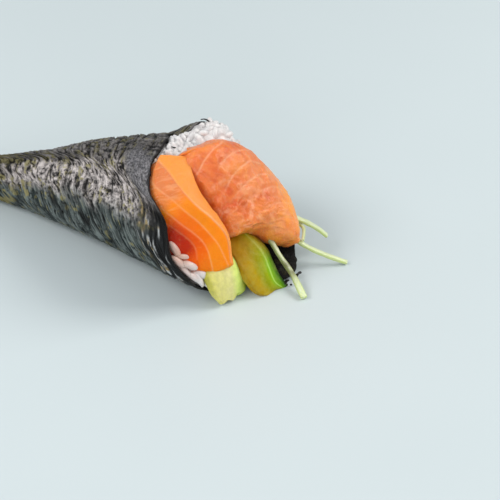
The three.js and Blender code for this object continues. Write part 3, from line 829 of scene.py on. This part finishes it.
def nori_wrap(material):
    angles = np.linspace(SEAM_ANGLE + SEAM_GAP, SEAM_ANGLE + 360 - SEAM_GAP, NORI_AROUND)
    share, angle = rows_and_angles(np.linspace(0, 1, NORI_ALONG + 1) ** RING_POWER, angles)
    edge = rim_x(angle) + ragged_edge(angle)
    x = mix(TIP_X, edge, share)
    from_seam = 1 - (angle - angles[0]) / (angles[-1] - angles[0])
    overlap = OVERLAP * from_seam * smoothstep(share, 0, 0.3)
    sheet, relief, marks = nori_marks(x, angle, share)
    outer = cone_point(x, angle, -overlap - relief)

    in_share, in_angle = rows_and_angles(np.linspace(1, 0, NORI_INSIDE + 1), angles)
    in_edge = np.tile(edge[:NORI_AROUND], NORI_INSIDE + 1)
    in_x = mix(CAVITY_X, in_edge, in_share)
    in_sheet = on_plane(in_x, 0.42 * in_angle)
    in_relief = 0.3 * noise(in_sheet, (2.2, 2.6, 1), 12) * smoothstep(in_share, 1, 0.9)
    thin = THIN_RIM * smoothstep(in_x, in_edge - THIN_REACH, in_edge)
    inner = cone_point(in_x, in_angle, WALL - thin - in_relief)
    tip = [TIP_X - TIP_CAP, cone_drift(TIP_X), CONE_HIGH * cone_radius(TIP_X)]
    points = lifted(np.vstack([outer, inner, [tip], [hollow_end(1)]]), 0)

    flat = 0 * in_x
    # Inside the cone the wall is painted dark, with little sheen: painted shade.
    inside = {"pale": 0.25 + noise(in_sheet, (1.8, 2.2, 1), 18), "dark": flat + 0.7,
              "olive": -0.1 + noise(in_sheet, (2, 3, 1), 19), "painted_sheen": flat + 0.06}
    attributes = {"sheet": np.vstack([sheet, in_sheet, np.zeros((2, 3))])}
    for key, values in marks.items():
        attributes[key] = np.concatenate([values, inside.get(key, flat), [0, 0]])
    faces = grid_faces(NORI_ALONG + NORI_INSIDE + 2, NORI_AROUND)
    return mesh_object("nori", points, faces, material, attributes)


# ---- Rice ----

FACE_GRAINS = 800
WALL_GRAINS = 190
WALL_ANGLES = (-22, 66)  # where the heap stands out past the rim
GRAIN_LENGTH = 5.8
GRAIN_WIDTH = 2.4
GRAIN_SEED = 5
GRAIN_CLEAR = 0.3  # between a grain and a filling or the wrap
RAY_STEP = 1e-6  # metres, to get past a face that a ray has met
NEAR_CLEAR = (134, 216)  # angles where the near slice reaches the rim
RICE_SMOOTH = (28, 36)  # where the heap is pressed smooth: middle and spread in degrees
# Grains packed against the rim: first and last angle, least reach, lean in degrees or None to
# follow the rim, how many.
PACKED_GRAINS = [(222, 292, 0.86, None, 46), (58, 100, 0.62, 70, 34)]
# Grains on the flank of the near slice: place in the mouth, lean in degrees, size.
FLANK_GRAINS = [
    ((-20.9, -1.2, 4.4), -88, 1.05), ((-22, -5.2, 3.7), -70, 1.1), ((-19.9, -4.8, 4.7), -40, 0.75),
    ((-21.4, -8.9, 3), -82, 1.05), ((-19.5, -8.4, 4.4), -55, 1.05), ((-20.2, -11.8, 2.4), -64, 1.2),
    ((-18.6, -13.9, 2.2), -88, 1.15), ((-16.3, -13.9, 2.6), -48, 1.15),
    ((-16.4, -16.6, 1), -66, 1.05), ((-14, -15.6, 1.2), -25, 0.9),
]


def swell_at(angle, place):
    """1 in the middle of a place on the rim, whose first numbers are its middle and spread."""
    middle, width = place[:2]
    turn = (angle - middle + 180) % 360 - 180
    return hill(turn, 0, width)


def rice_edge(angle):
    """How far along the cone the rice reaches."""
    back = sum(place[2] * swell_at(angle, place) for place in (RICE_HEAP, RICE_SHY, RICE_HOLLOW))
    return rim_x(angle) - RICE_SETBACK - back


def rice_inset(angle):
    return WALL + 0.3 + RICE_EASE * swell_at(angle, RICE_HEAP)


def rice_face(angle, reach):
    """A place on the heap's face, from its middle at reach 0 to the rim at 1."""
    p, q, w = to_mouth(cone_point(rice_edge(angle), angle, rice_inset(angle))).T
    overhang = RICE_OVERHANG * swell_at(angle, RICE_HEAP) * np.sin(np.pi * reach)
    out = reach * (1 + overhang)
    return mouth_point(np.stack([p * out, q * out, w * reach**3 + RICE_SWELL * (1 - reach**4)], -1))


def rice_core(material):
    columns, wall_rows, face_rows = 240, 40, 70
    angles = 360 * np.arange(columns) / columns + SEAM_ANGLE
    rings = []
    for row in range(wall_rows):
        x = mix(CAVITY_X + 2, rice_edge(angles), (row / wall_rows) ** 0.6)
        rings.append(cone_point(x, angles, rice_inset(angles)))
    for row in range(face_rows):
        rings.append(rice_face(angles, np.full(columns, 1 - row / face_rows)))
    middle = rice_face(np.zeros(1), np.zeros(1))[0]
    points = np.vstack(rings + [[hollow_end(-1)], [middle]])
    faces = grid_faces(len(rings), columns)
    out = along_loft(points, rim_x(angles))[1] < points[:, 0] + 1
    face = np.arange(len(points)) >= wall_rows * columns
    smooth = along_loft(points, swell_at(angles, RICE_SMOOTH))[1]
    lumps = 0.5 * noise(points, 1.9, 21) + 0.25 * noise(points, 1, 22)
    lumps = lumps + np.where(face, 0.1 + 0.35 * smooth, -0.3)
    points = points + normals_of(points, faces) * ((out | face) * lumps)[:, None]
    return mesh_object("rice_core", points, faces, material, {"salmon_tint_and_shade": salmon_tint_and_shade_at(points)})


def salmon_tint_and_shade_at(points):
    """How far the rice is tinted pink: by salmon oil beside the top of the near slice, and below that
    slice, where the darker pink is painted shade and painted light reflected from the salmon.
    """
    p, q = to_mouth(points).T[:2]
    beside = hill(p, -12, 6) * hill(q, 23.5, 3.4)
    below = hill(p, -21, 5) * hill(q, -3, 8)
    return np.clip(0.75 * beside + 0.85 * below + 0.1 * noise(points, 4, 23), 0, 1)


def grain_shape(rows=7, sides=10):
    """One grain along +X, a little bent, with blunt ends, in units of its length and width."""
    rings = []
    turn = 2 * np.pi * np.arange(sides) / sides
    for t in np.linspace(0.06, 0.94, rows):
        radius = 0.5 * (1 - abs(2 * t - 1) ** 2.6) ** 0.5
        height = radius * np.sin(turn) * 0.9 - 0.1 * (2 * t - 1) ** 2
        rings.append(np.stack([np.full(sides, t - 0.5), radius * np.cos(turn), height], -1))
    points = np.vstack(rings + [[(-0.5, 0, -0.1)], [(0.5, 0, -0.1)]])
    return points, grid_faces(rows, sides)


def touches(trees, places, clear):
    """Whether one of the places is in a filling or nearer to it than clear, in millimetres.

    A ray up from a place in a mesh leaves it an odd number of times.
    """
    up = Vector((0, 0, 1))
    for start in map(Vector, to_part(places)):
        for tree in trees:
            place, inside = tree.ray_cast(start, up)[0], False
            while place:
                inside = not inside
                place = tree.ray_cast(place + up * RAY_STEP, up)[0]
            if inside or tree.find_nearest(start)[3] < clear * MM:
                return True
    return False


def grain_at(place, out, lean, tilt, size, shape):
    """The points of one grain on a surface that faces out, turned by lean and tilted off it."""
    across = unit(mouth_axes[0] - (mouth_axes[0] @ out) * out)
    along = np.cos(lean) * across + np.sin(lean) * np.cross(out, across)
    along = np.cos(tilt) * along + np.sin(tilt) * out
    side = unit(np.cross(out, along))
    axes = np.array([along, side, np.cross(along, side)])
    return (shape * (GRAIN_LENGTH * size, GRAIN_WIDTH * size, GRAIN_WIDTH * size)) @ axes + place


def filling_trees():
    """The solids of the fillings, which the grains lie round."""
    trees = []
    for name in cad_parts:
        if name not in ("rice", "nori_wrap"):
            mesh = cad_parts[name].data
            corners = [vertex.co for vertex in mesh.vertices]
            trees.append(BVHTree.FromPolygons(corners, [side.vertices for side in mesh.polygons]))
    return trees


def rice_grains(material):
    random = np.random.default_rng(GRAIN_SEED)
    trees = filling_trees()
    shape, faces = grain_shape()
    grains = []

    def lay(place, out, lean, tilt, size, ends=False, clear=GRAIN_CLEAR):
        grain = grain_at(place, out, lean, tilt, size, shape)
        places = [*grain[-2:], grain.mean(0)] if ends else [grain.mean(0)]
        if not touches(trees, places, clear):
            grains.append(grain)

    for _ in range(FACE_GRAINS):  # over the heap's face
        angle, reach = random.uniform(0, 360), math.sqrt(random.uniform(0, 1))
        smooth = swell_at(angle, RICE_SMOOTH)
        lift = random.uniform(-0.7, 0.5) - 0.3 * smooth
        reach = np.array([reach * mix(0.99, 0.88, smooth)])
        place = rice_face(np.array([angle]), reach)[0] + mouth_out * lift
        lean, tilt = random.uniform(0, 2 * np.pi), random.normal(0, 0.3) * (1 - 0.6 * smooth)
        size = random.uniform(0.84, 1.1)
        if not (NEAR_CLEAR[0] < angle < NEAR_CLEAR[1] or random.uniform() < 0.5 * smooth):
            lay(place, mouth_out, lean, tilt, size, ends=True)
    for _ in range(WALL_GRAINS):  # on its side, past the rim
        angle, share = random.uniform(*WALL_ANGLES), random.uniform(0.05, 1.05)
        x = mix(rim_x(angle) - 1, rice_edge(angle), share)
        turn = np.radians(angle)
        out = unit(np.array([0, np.cos(turn), np.sin(turn)]) + mouth_out * share)
        place = cone_point(np.array([x]), np.array([angle]), rice_inset(angle))[0]
        place = place + out * random.uniform(-0.5, 0.4)
        lean, tilt = random.uniform(0, 2 * np.pi), random.normal(0, 0.15)
        lay(place, out, lean, tilt, random.uniform(0.84, 1.05))
    for first, last, least, lean, count in PACKED_GRAINS:
        for index in range(count):
            angle = mix(first, last, (index + 0.5) / count)
            place = rice_face(np.array([angle]), np.array([random.uniform(least, 0.99)]))[0]
            place = place + mouth_out * random.uniform(-0.3, 1)
            turn = np.radians(angle + 60 if lean is None else lean) + random.normal(0, 0.4)
            tilt, size = random.normal(0, 0.2), random.uniform(0.95, 1.15)
            lay(place, mouth_out, turn, tilt, size, clear=0.4)
    for place, lean, size in FLANK_GRAINS:
        grains.append(grain_at(mouth_point(place), mouth_out, np.radians(lean), 0, size, shape))
    starts = [index * len(shape) for index in range(len(grains))]
    polygons = [[corner + start for corner in face] for start in starts for face in faces]
    points = keep_inside(np.vstack(grains), GRAIN_CLEAR)
    return mesh_object("rice_grains", points, polygons, material, {"salmon_tint_and_shade": salmon_tint_and_shade_at(points)})


# ---- Slices of salmon ----


def line_strength(p, q, line, width):
    """How strong a line is at each place, how far off it is, and its nearest point."""
    dense = smooth_rail(line)(np.linspace(0, 1, 120))
    gap = np.hypot(p[:, None] - dense[None, :, 0], q[:, None] - dense[None, :, 1])
    nearest = gap.argmin(1)
    distance = gap[np.arange(len(p)), nearest]
    strength = hill(distance, 0, width) * np.clip(dense[nearest, 2], 0, 1)
    return strength, distance, dense[nearest]


def crest_side(p, q):
    """How far a place is past the strip's crest, toward its upper face."""
    distance, nearest = line_strength(p, q, STRIP_CREST, 1)[1:]
    return np.sign(p - nearest[:, 0]) * distance


def salmon_strip(material):
    """The near slice: its cut side faces out, with a narrow face above its crest painted pale as lit.
    """
    t = np.linspace(0, 1, 190)
    crest, low, far = (smooth_rail(rail)(t) for rail in (STRIP_CREST, STRIP_LOW, STRIP_FAR))
    under = low + np.array([0.45, 0, -0.9]) * STRIP_THICK
    inner = far + np.array([-0.2, 0, -1]) * STRIP_THICK
    corners = np.stack([crest, low, under, inner, far], 1)
    pqw, faces, normals = loft(spaced(cut_corners(corners, (0.14, 0.3, 0.25)), 230), 1.2)
    p, q, w = pqw.T
    past = crest_side(p, q)
    top = smoothstep(past, -0.7, 0.5)
    fat_and_glint, tone = np.zeros(len(p)), np.full(len(p), 0.32)
    for line, fat_share, tone_step in zip(STRIP_FAT, STRIP_FAT_SHARES, STRIP_TONE_STEPS):
        strength, distance, nearest = line_strength(p, q, line, 0.25)
        fat_and_glint = np.maximum(fat_and_glint, strength * (1 - top) * fat_share)
        below = np.sign(nearest[:, 0] - p)
        tone = tone + tone_step * smoothstep(below * distance, -0.7, 0.7)
    # A deeper tone low on the cut side is painted shadow.
    tone = tone + 0.42 * hill(p, -21.5, 4.5) * hill(q, 0.5, 4.6)
    tone = np.maximum(tone - 0.3 * smoothstep(q, -3, -12), 0.34)
    pale_top = smoothstep(q - 0.5 * (p + 12), 7, 15)
    # The narrow upper face gets the palest tone as painted light.
    tone = mix(mix(tone, 0.17, 0.85 * pale_top), 0.04, top)
    bent = q + 0.35 * p + 0.5 * noise(pqw, 2.5, 33)
    hairs = ridges(on_plane(bent, 0.25 * p), (0.8, 1, 1), 31)
    fat_and_glint = np.maximum(fat_and_glint, 0.3 * pale_top * smoothstep(hairs, 0.75, 1) * (1 - top))
    # A pale line along the crest is a painted highlight.
    fat_and_glint = np.maximum(fat_and_glint, (0.2 + 0.5 * hill(q, 3, 7)) * hill(past, 0.1, 0.35))
    height = 0.22 * noise(pqw, 6, 30) + 0.12 * noise(pqw, 2.2, 32) - 0.16 * fat_and_glint - 0.1 * pale_top * hairs
    pqw = pqw + normals * height[:, None]
    points = keep_inside(mouth_point(pqw), FILLING_CLEAR)
    fibre = np.stack([q + 0.3 * p, p - 0.3 * q, w], -1)
    marks = {"fat_and_glint": fat_and_glint, "tone": tone, "fibre": fibre}
    return mesh_object("salmon_strip_flesh", points, faces, material, marks)


def salmon_slice(material):
    """The broad slice, which lies wrinkled over the heap."""
    sides = 130
    q0, near, far, crown, thick = smooth_rail(SLICE_STATIONS)(np.linspace(0, 1, 230)).T
    turn = np.pi * np.arange(2 * sides) / sides
    across = np.cos(turn)[None, :]
    half = np.sqrt(np.maximum(1 - across**4, 0)) * thick[:, None] / 2
    middle = (crown - thick / 2)[:, None] - SLICE_DROP * across**2
    w = middle + np.where(turn < np.pi, 1, -1)[None, :] * half
    p = mix(near[:, None], far[:, None], (1 + across) / 2)
    rings = np.stack([p, np.broadcast_to(q0[:, None], p.shape), w], -1)
    pqw, faces, normals = loft(spaced(rings, 2 * sides), 1.6)
    p, q, w = pqw.T
    fat_and_glint, groove = np.zeros(len(p)), np.zeros(len(p))
    for line in SLICE_FAT:
        strength, distance, nearest = line_strength(p, q, line, 0.3)
        fat_and_glint = np.maximum(fat_and_glint, strength)
        groove = np.maximum(groove, hill(distance, 0, 0.9) * nearest[:, 2])
    upper = smoothstep(normals[:, 2], -0.1, 0.3)
    fat_and_glint = 0.5 * fat_and_glint * upper
    wrinkled = hill(p, 6, 10) * hill(q, -1, 11)
    bent = pqw + 1.3 * on_plane(noise(pqw, 4, 46), noise(pqw, 4, 47))
    folds = ridges(bent @ np.array([[0.5, 1, 0], [1, -0.5, 0], [0, 0, 1]]), (1.9, 5, 5), 41)
    dents = noise(bent, 1.5, 42)
    milky = smoothstep(noise(bent, 2.4, 48) + 0.5 * noise(bent, 0.9, 49), 0.1, 0.8)
    # Pale crests of the folds are painted highlights.
    fat_and_glint = np.maximum(fat_and_glint, 0.32 * wrinkled * smoothstep(folds, 0.8, 1) * upper)
    # Beads are painted wet glints.
    beads = patches(bent, 0.55, 51, 0.45, 0.75) * patches(bent, 3.5, 52, -0.1, 0.4)
    fat_and_glint = np.maximum(fat_and_glint, (0.2 + 0.35 * wrinkled) * beads * upper)
    fat_and_glint = np.maximum(fat_and_glint, (0.16 + 0.28 * wrinkled) * milky * upper)
    height = 0.35 * noise(pqw, 8, 43) + 0.14 * noise(pqw, 3, 44) - 0.3 * groove * upper
    height = height + (0.3 + 0.7 * wrinkled) * (0.46 * (folds - 0.6) + 0.24 * dents)
    height = height + (0.08 + 0.1 * wrinkled) * noise(bent, 0.8, 50)
    tone = 0.5 + 0.25 * noise(pqw, 7, 45) + 0.2 * wrinkled - 0.22 * dents
    # The last term, a deeper tone where the slice droops low, is painted shade.
    tone = tone - 0.42 * smoothstep(p, 17, 24) * smoothstep(q, 6, -6) + 0.25 * smoothstep(w, 8, 3)
    tone = tone - 0.3 * smoothstep(q, -2, -14)
    pqw = pqw + normals * height[:, None]
    points = keep_inside(mouth_point(pqw), FILLING_CLEAR)
    fibre = np.stack([q - 0.2 * p, p + 0.2 * q, w], -1)
    marks = {"fat_and_glint": fat_and_glint, "tone": np.clip(tone, 0, 1), "fibre": fibre}
    return mesh_object("salmon_slice_flesh", points, faces, material, marks)


# ---- Avocado ----

WEDGE_OUTLINE = [(-0.52, -0.5), (-0.36, -1), (0.34, -1), (0.5, -0.45), (0.5, 0), (-0.5, -0.16)]


def avocado_wedge(name, stations, band, ending, browning_and_shade, material):
    """band is how much of the front is skin green, and browning how far the flesh has turned."""
    lobes, slant, flank = ending
    t = np.linspace(0, 1, 150)
    path = smooth_rail([station[:3] for station in stations])
    width, thick = smooth_rail([station[3:] for station in stations])(t).T[..., None]
    along = heading(path, t)
    across = unit(np.array([1, 0, 0]) - along[:, :1] * along)
    outline = np.c_[WEDGE_OUTLINE, np.zeros(len(WEDGE_OUTLINE))]
    outline[4, 0] -= band
    outline[3, :2] = flank
    outline = spaced(cut_corners(outline[None], (0.07, 0.25, 0.25)), 180)[0]
    a, depth = outline[:, 0], outline[:, 1]
    pqw, faces, normals = loft(swept(path(t), along, across, a * width, depth * thick), 0.8)
    row, share = along_loft(pqw, a)
    deep = along_loft(pqw, depth)[1]
    deep[-2:] = -0.5
    lobed = lobes * smoothstep(row, 0.86, 0.98) * np.cos(4 * np.pi * (share + 0.14))
    slanted = slant * smoothstep(row, 0.72, 1) * (share + 0.05)
    pqw = pqw + along[-1] * lobed[:, None] - [0, 1, 0] * slanted[:, None]
    height = 0.14 * noise(pqw, 5, 51) + 0.08 * noise(pqw, 1.8, 52) + 0.05 * noise(pqw, 0.8, 53)
    pqw = pqw + normals * height[:, None]
    points = lifted(keep_inside(mouth_point(pqw), FILLING_CLEAR), 0.05)
    skin = share + 0.5 + 0.16 * smoothstep(deep, -0.05, -0.5) * smoothstep(share, 0.1, 0.4)
    skin = skin + 0.13 * smoothstep(row, 0.55, 0.95)
    brown_and_shade = browning_and_shade * smoothstep(row, 0.62, 0.34) * (0.75 + 0.25 * noise(pqw, 3, 54))
    marks = {"across": np.clip(skin / 1.16, 0, 1), "brown_and_shade": brown_and_shade}
    return mesh_object(name, points, faces, material, marks)


# ---- Cucumber ----


def cucumber_strip(name, shape, browning_and_shade, taper, material):
    """A shape is the strip's width, thickness and route."""
    width, thick, line = shape
    rail = smooth_rail(line)
    t = np.linspace(0, 1, 130)
    along = heading(rail, t)
    across = unit(np.cross([0, 0, 1], along))
    square = np.array([[(-0.5, -0.5, 0), (0.5, -0.5, 0), (0.5, 0.5, 0), (-0.5, 0.5, 0)]])
    a, b = spaced(cut_corners(square, (0.16, 0.25)), 36)[0].T[:2]
    wide = 0.9 + 0.1 * noise(on_plane(t * 9, 0 * t), 1, 61)
    wide = (wide * (1 - taper * smoothstep(t, 0.95, 0.6)))[:, None]
    rings = swept(rail(t), along, across, a * width * wide, (b * thick)[None])
    points, faces, normals = loft(rings, 0.25, 5)
    row, share = along_loft(points, a)
    points = points + normals * (0.09 * noise(points, 1.6, 62))[:, None]
    # On the first strip this dark band near its top is painted shade, with the dark nori behind seen
    # through the strip.
    brown_and_shade = hill(row, 0.74, 0.08) + 0.4 * smoothstep(row, 0.74, 0.68)
    brown_and_shade = browning_and_shade * brown_and_shade * (0.85 + 0.25 * noise(points, 1.5, 63))
    marks = {"across": share + 0.5, "brown_and_shade": brown_and_shade}
    return mesh_object(name + "_flesh", points, faces, material, marks)


# ---- Scraps of nori ----

# Routes of the torn bits on the rice and the floor, and their width.
SCRAPS = [
    (1.3, [(21, 13, 1), (21.2, 14.2, 1.5), (21.7, 15.8, 1.7)]),
    (1.1, [(19.6, 8.5, 0.7), (19.6, 9.6, 1.1), (19.9, 10.8, 1)]),
    (0.9, [(21.3, 9, 0.5), (21.6, 9.3, 0.7), (21.9, 9.3, 0.5)]),
    (1.5, [(-26.6, 9.4, 39.4), (-24.4, 9.9, 40.1), (-22.4, 8.7, 40.4), (-20.6, 7.6, 40.6)]),
    (0.8, [(-21.2, 24.6, 42), (-19.2, 23.8, 43.2), (-16.8, 22.8, 43.6)]),
]
SCRAP_THICK = 0.35


def nori_scraps(material):
    points, faces = [], []
    t = np.linspace(0, 1, 24)
    turn = 2 * np.pi * np.arange(12) / 12
    flat = np.sign(np.cos(turn)) * abs(np.cos(turn)) ** 0.6
    for width, line in SCRAPS:
        rail = smooth_rail(line)
        along = heading(rail, t, 0.05)
        across = unit(np.cross([0, 0.3, 1], along))
        wide = 0.5 * width * (1 + 0.35 * noise(rail(t), 0.8, 71)) * (1 - abs(2 * t - 1) ** 6) ** 0.5
        high = 0.5 * SCRAP_THICK * np.sin(turn)
        rings = swept(rail(t), along, across, wide[:, None] * flat, high[None])
        start = sum(len(part) for part in points)
        points.append(np.vstack([*rings, rail(0)[None], rail(1)[None]]))
        faces += [[corner + start for corner in face] for face in grid_faces(len(t), len(turn))]
    points = np.vstack(points)
    marks = {"pale": 0.15 + noise(points, 0.7, 72), "sheet": points}
    return mesh_object("nori_scraps", points, faces, material, marks)


# ---- Camera, floor and light ----


def aim(thing, target):
    direction = Vector(target) - thing.location
    thing.rotation_euler = direction.to_track_quat("-Z", "Y").to_euler()


def make_camera():
    camera = new_object("camera", bpy.data.cameras.new("camera"))
    flat = math.cos(VIEW_HEIGHT)
    back = Vector((math.sin(VIEW_TURN) * flat, -math.cos(VIEW_TURN) * flat, math.sin(VIEW_HEIGHT)))
    camera.location = VIEW_POINT + back * VIEW_DISTANCE
    aim(camera, VIEW_POINT)
    camera.data.lens = VIEW_LENS
    camera.data.sensor_width = 36
    bpy.context.scene.camera = camera


def make_lights():
    for name, (place, size, power, color) in LIGHTS.items():
        lamp = bpy.data.lights.new(name, "AREA")
        lamp.shape = "RECTANGLE"
        lamp.size, lamp.size_y = size
        lamp.energy = power
        lamp.color = color
        light = new_object(name, lamp)
        light.location = place
        aim(light, LIT_POINT)
    world = bpy.data.worlds.new("studio")
    world.use_nodes = True
    sky = world.node_tree.nodes["Background"]
    sky.inputs["Color"].default_value = (*SKY_COLOR, 1)
    sky.inputs["Strength"].default_value = SKY_STRENGTH
    bpy.context.scene.world = world
    bpy.context.scene.view_settings.view_transform = "Standard"


def make_floor():
    mesh = bpy.data.meshes.new("floor")
    signs = [(-1, -1), (1, -1), (1, 1), (-1, 1)]
    mesh.from_pydata([(x * FLOOR_HALF, y * FLOOR_HALF, 0) for x, y in signs], [], [(0, 1, 2, 3)])
    mesh.materials.append(floor_material())
    new_object("floor", mesh)


# ---- Assembly ----

make_camera()
make_floor()
make_lights()

nori_black = nori_material()
rice_white = rice_material()
strip_flesh = salmon_material("salmon_strip", STRIP_TONES, fat_and_glint_color=(0.95, 0.55, 0.28),
                              radius=(1, 0.3, 0.1), shine=0.18, wet=0.06)
slice_flesh = salmon_material("salmon_slice", SLICE_TONES, fat_and_glint_color=(0.92, 0.5, 0.3),
                              radius=(1, 0.32, 0.14), shine=0.3, wet=0.5)
near_green = avocado_material("avocado_near", NEAR_TONES, mottled=0.45)
far_green = avocado_material("avocado_far", FAR_TONES, mottled=0.15)
cucumber_pale = cucumber_material()

pieces = [
    (nori_wrap(nori_black), "nori", "nori_wrap"),
    (nori_scraps(nori_black), "nori", None),
    (rice_core(rice_white), "rice", "rice"),
    (rice_grains(rice_white), "rice", None),
    (salmon_strip(strip_flesh), "salmon", "salmon_strip"),
    (salmon_slice(slice_flesh), "salmon", "salmon_slice"),
    (avocado_wedge("avocado_near_flesh", NEAR_WEDGE, NEAR_BAND, NEAR_END, 0, near_green),
     "avocado", "avocado_wedge_near"),
    (avocado_wedge("avocado_far_flesh", FAR_WEDGE, FAR_BAND, FAR_END, 0.85, far_green),
     "avocado", "avocado_wedge_far"),
]
for strip_name, strip_shape in CUCUMBER.items():
    # Only the first strip gets the band of painted shade, and a narrower top.
    browning_and_shade, taper = (0.9, 0.35) if strip_name == "cucumber_strip_1" else (0, 0)
    strip = cucumber_strip(strip_name, strip_shape, browning_and_shade, taper, cucumber_pale)
    pieces.append((strip, "cucumber", strip_name))

for piece, slot_name, cad_node in pieces:
    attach(piece, "root")
    if cad_node:
        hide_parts(cad_node)
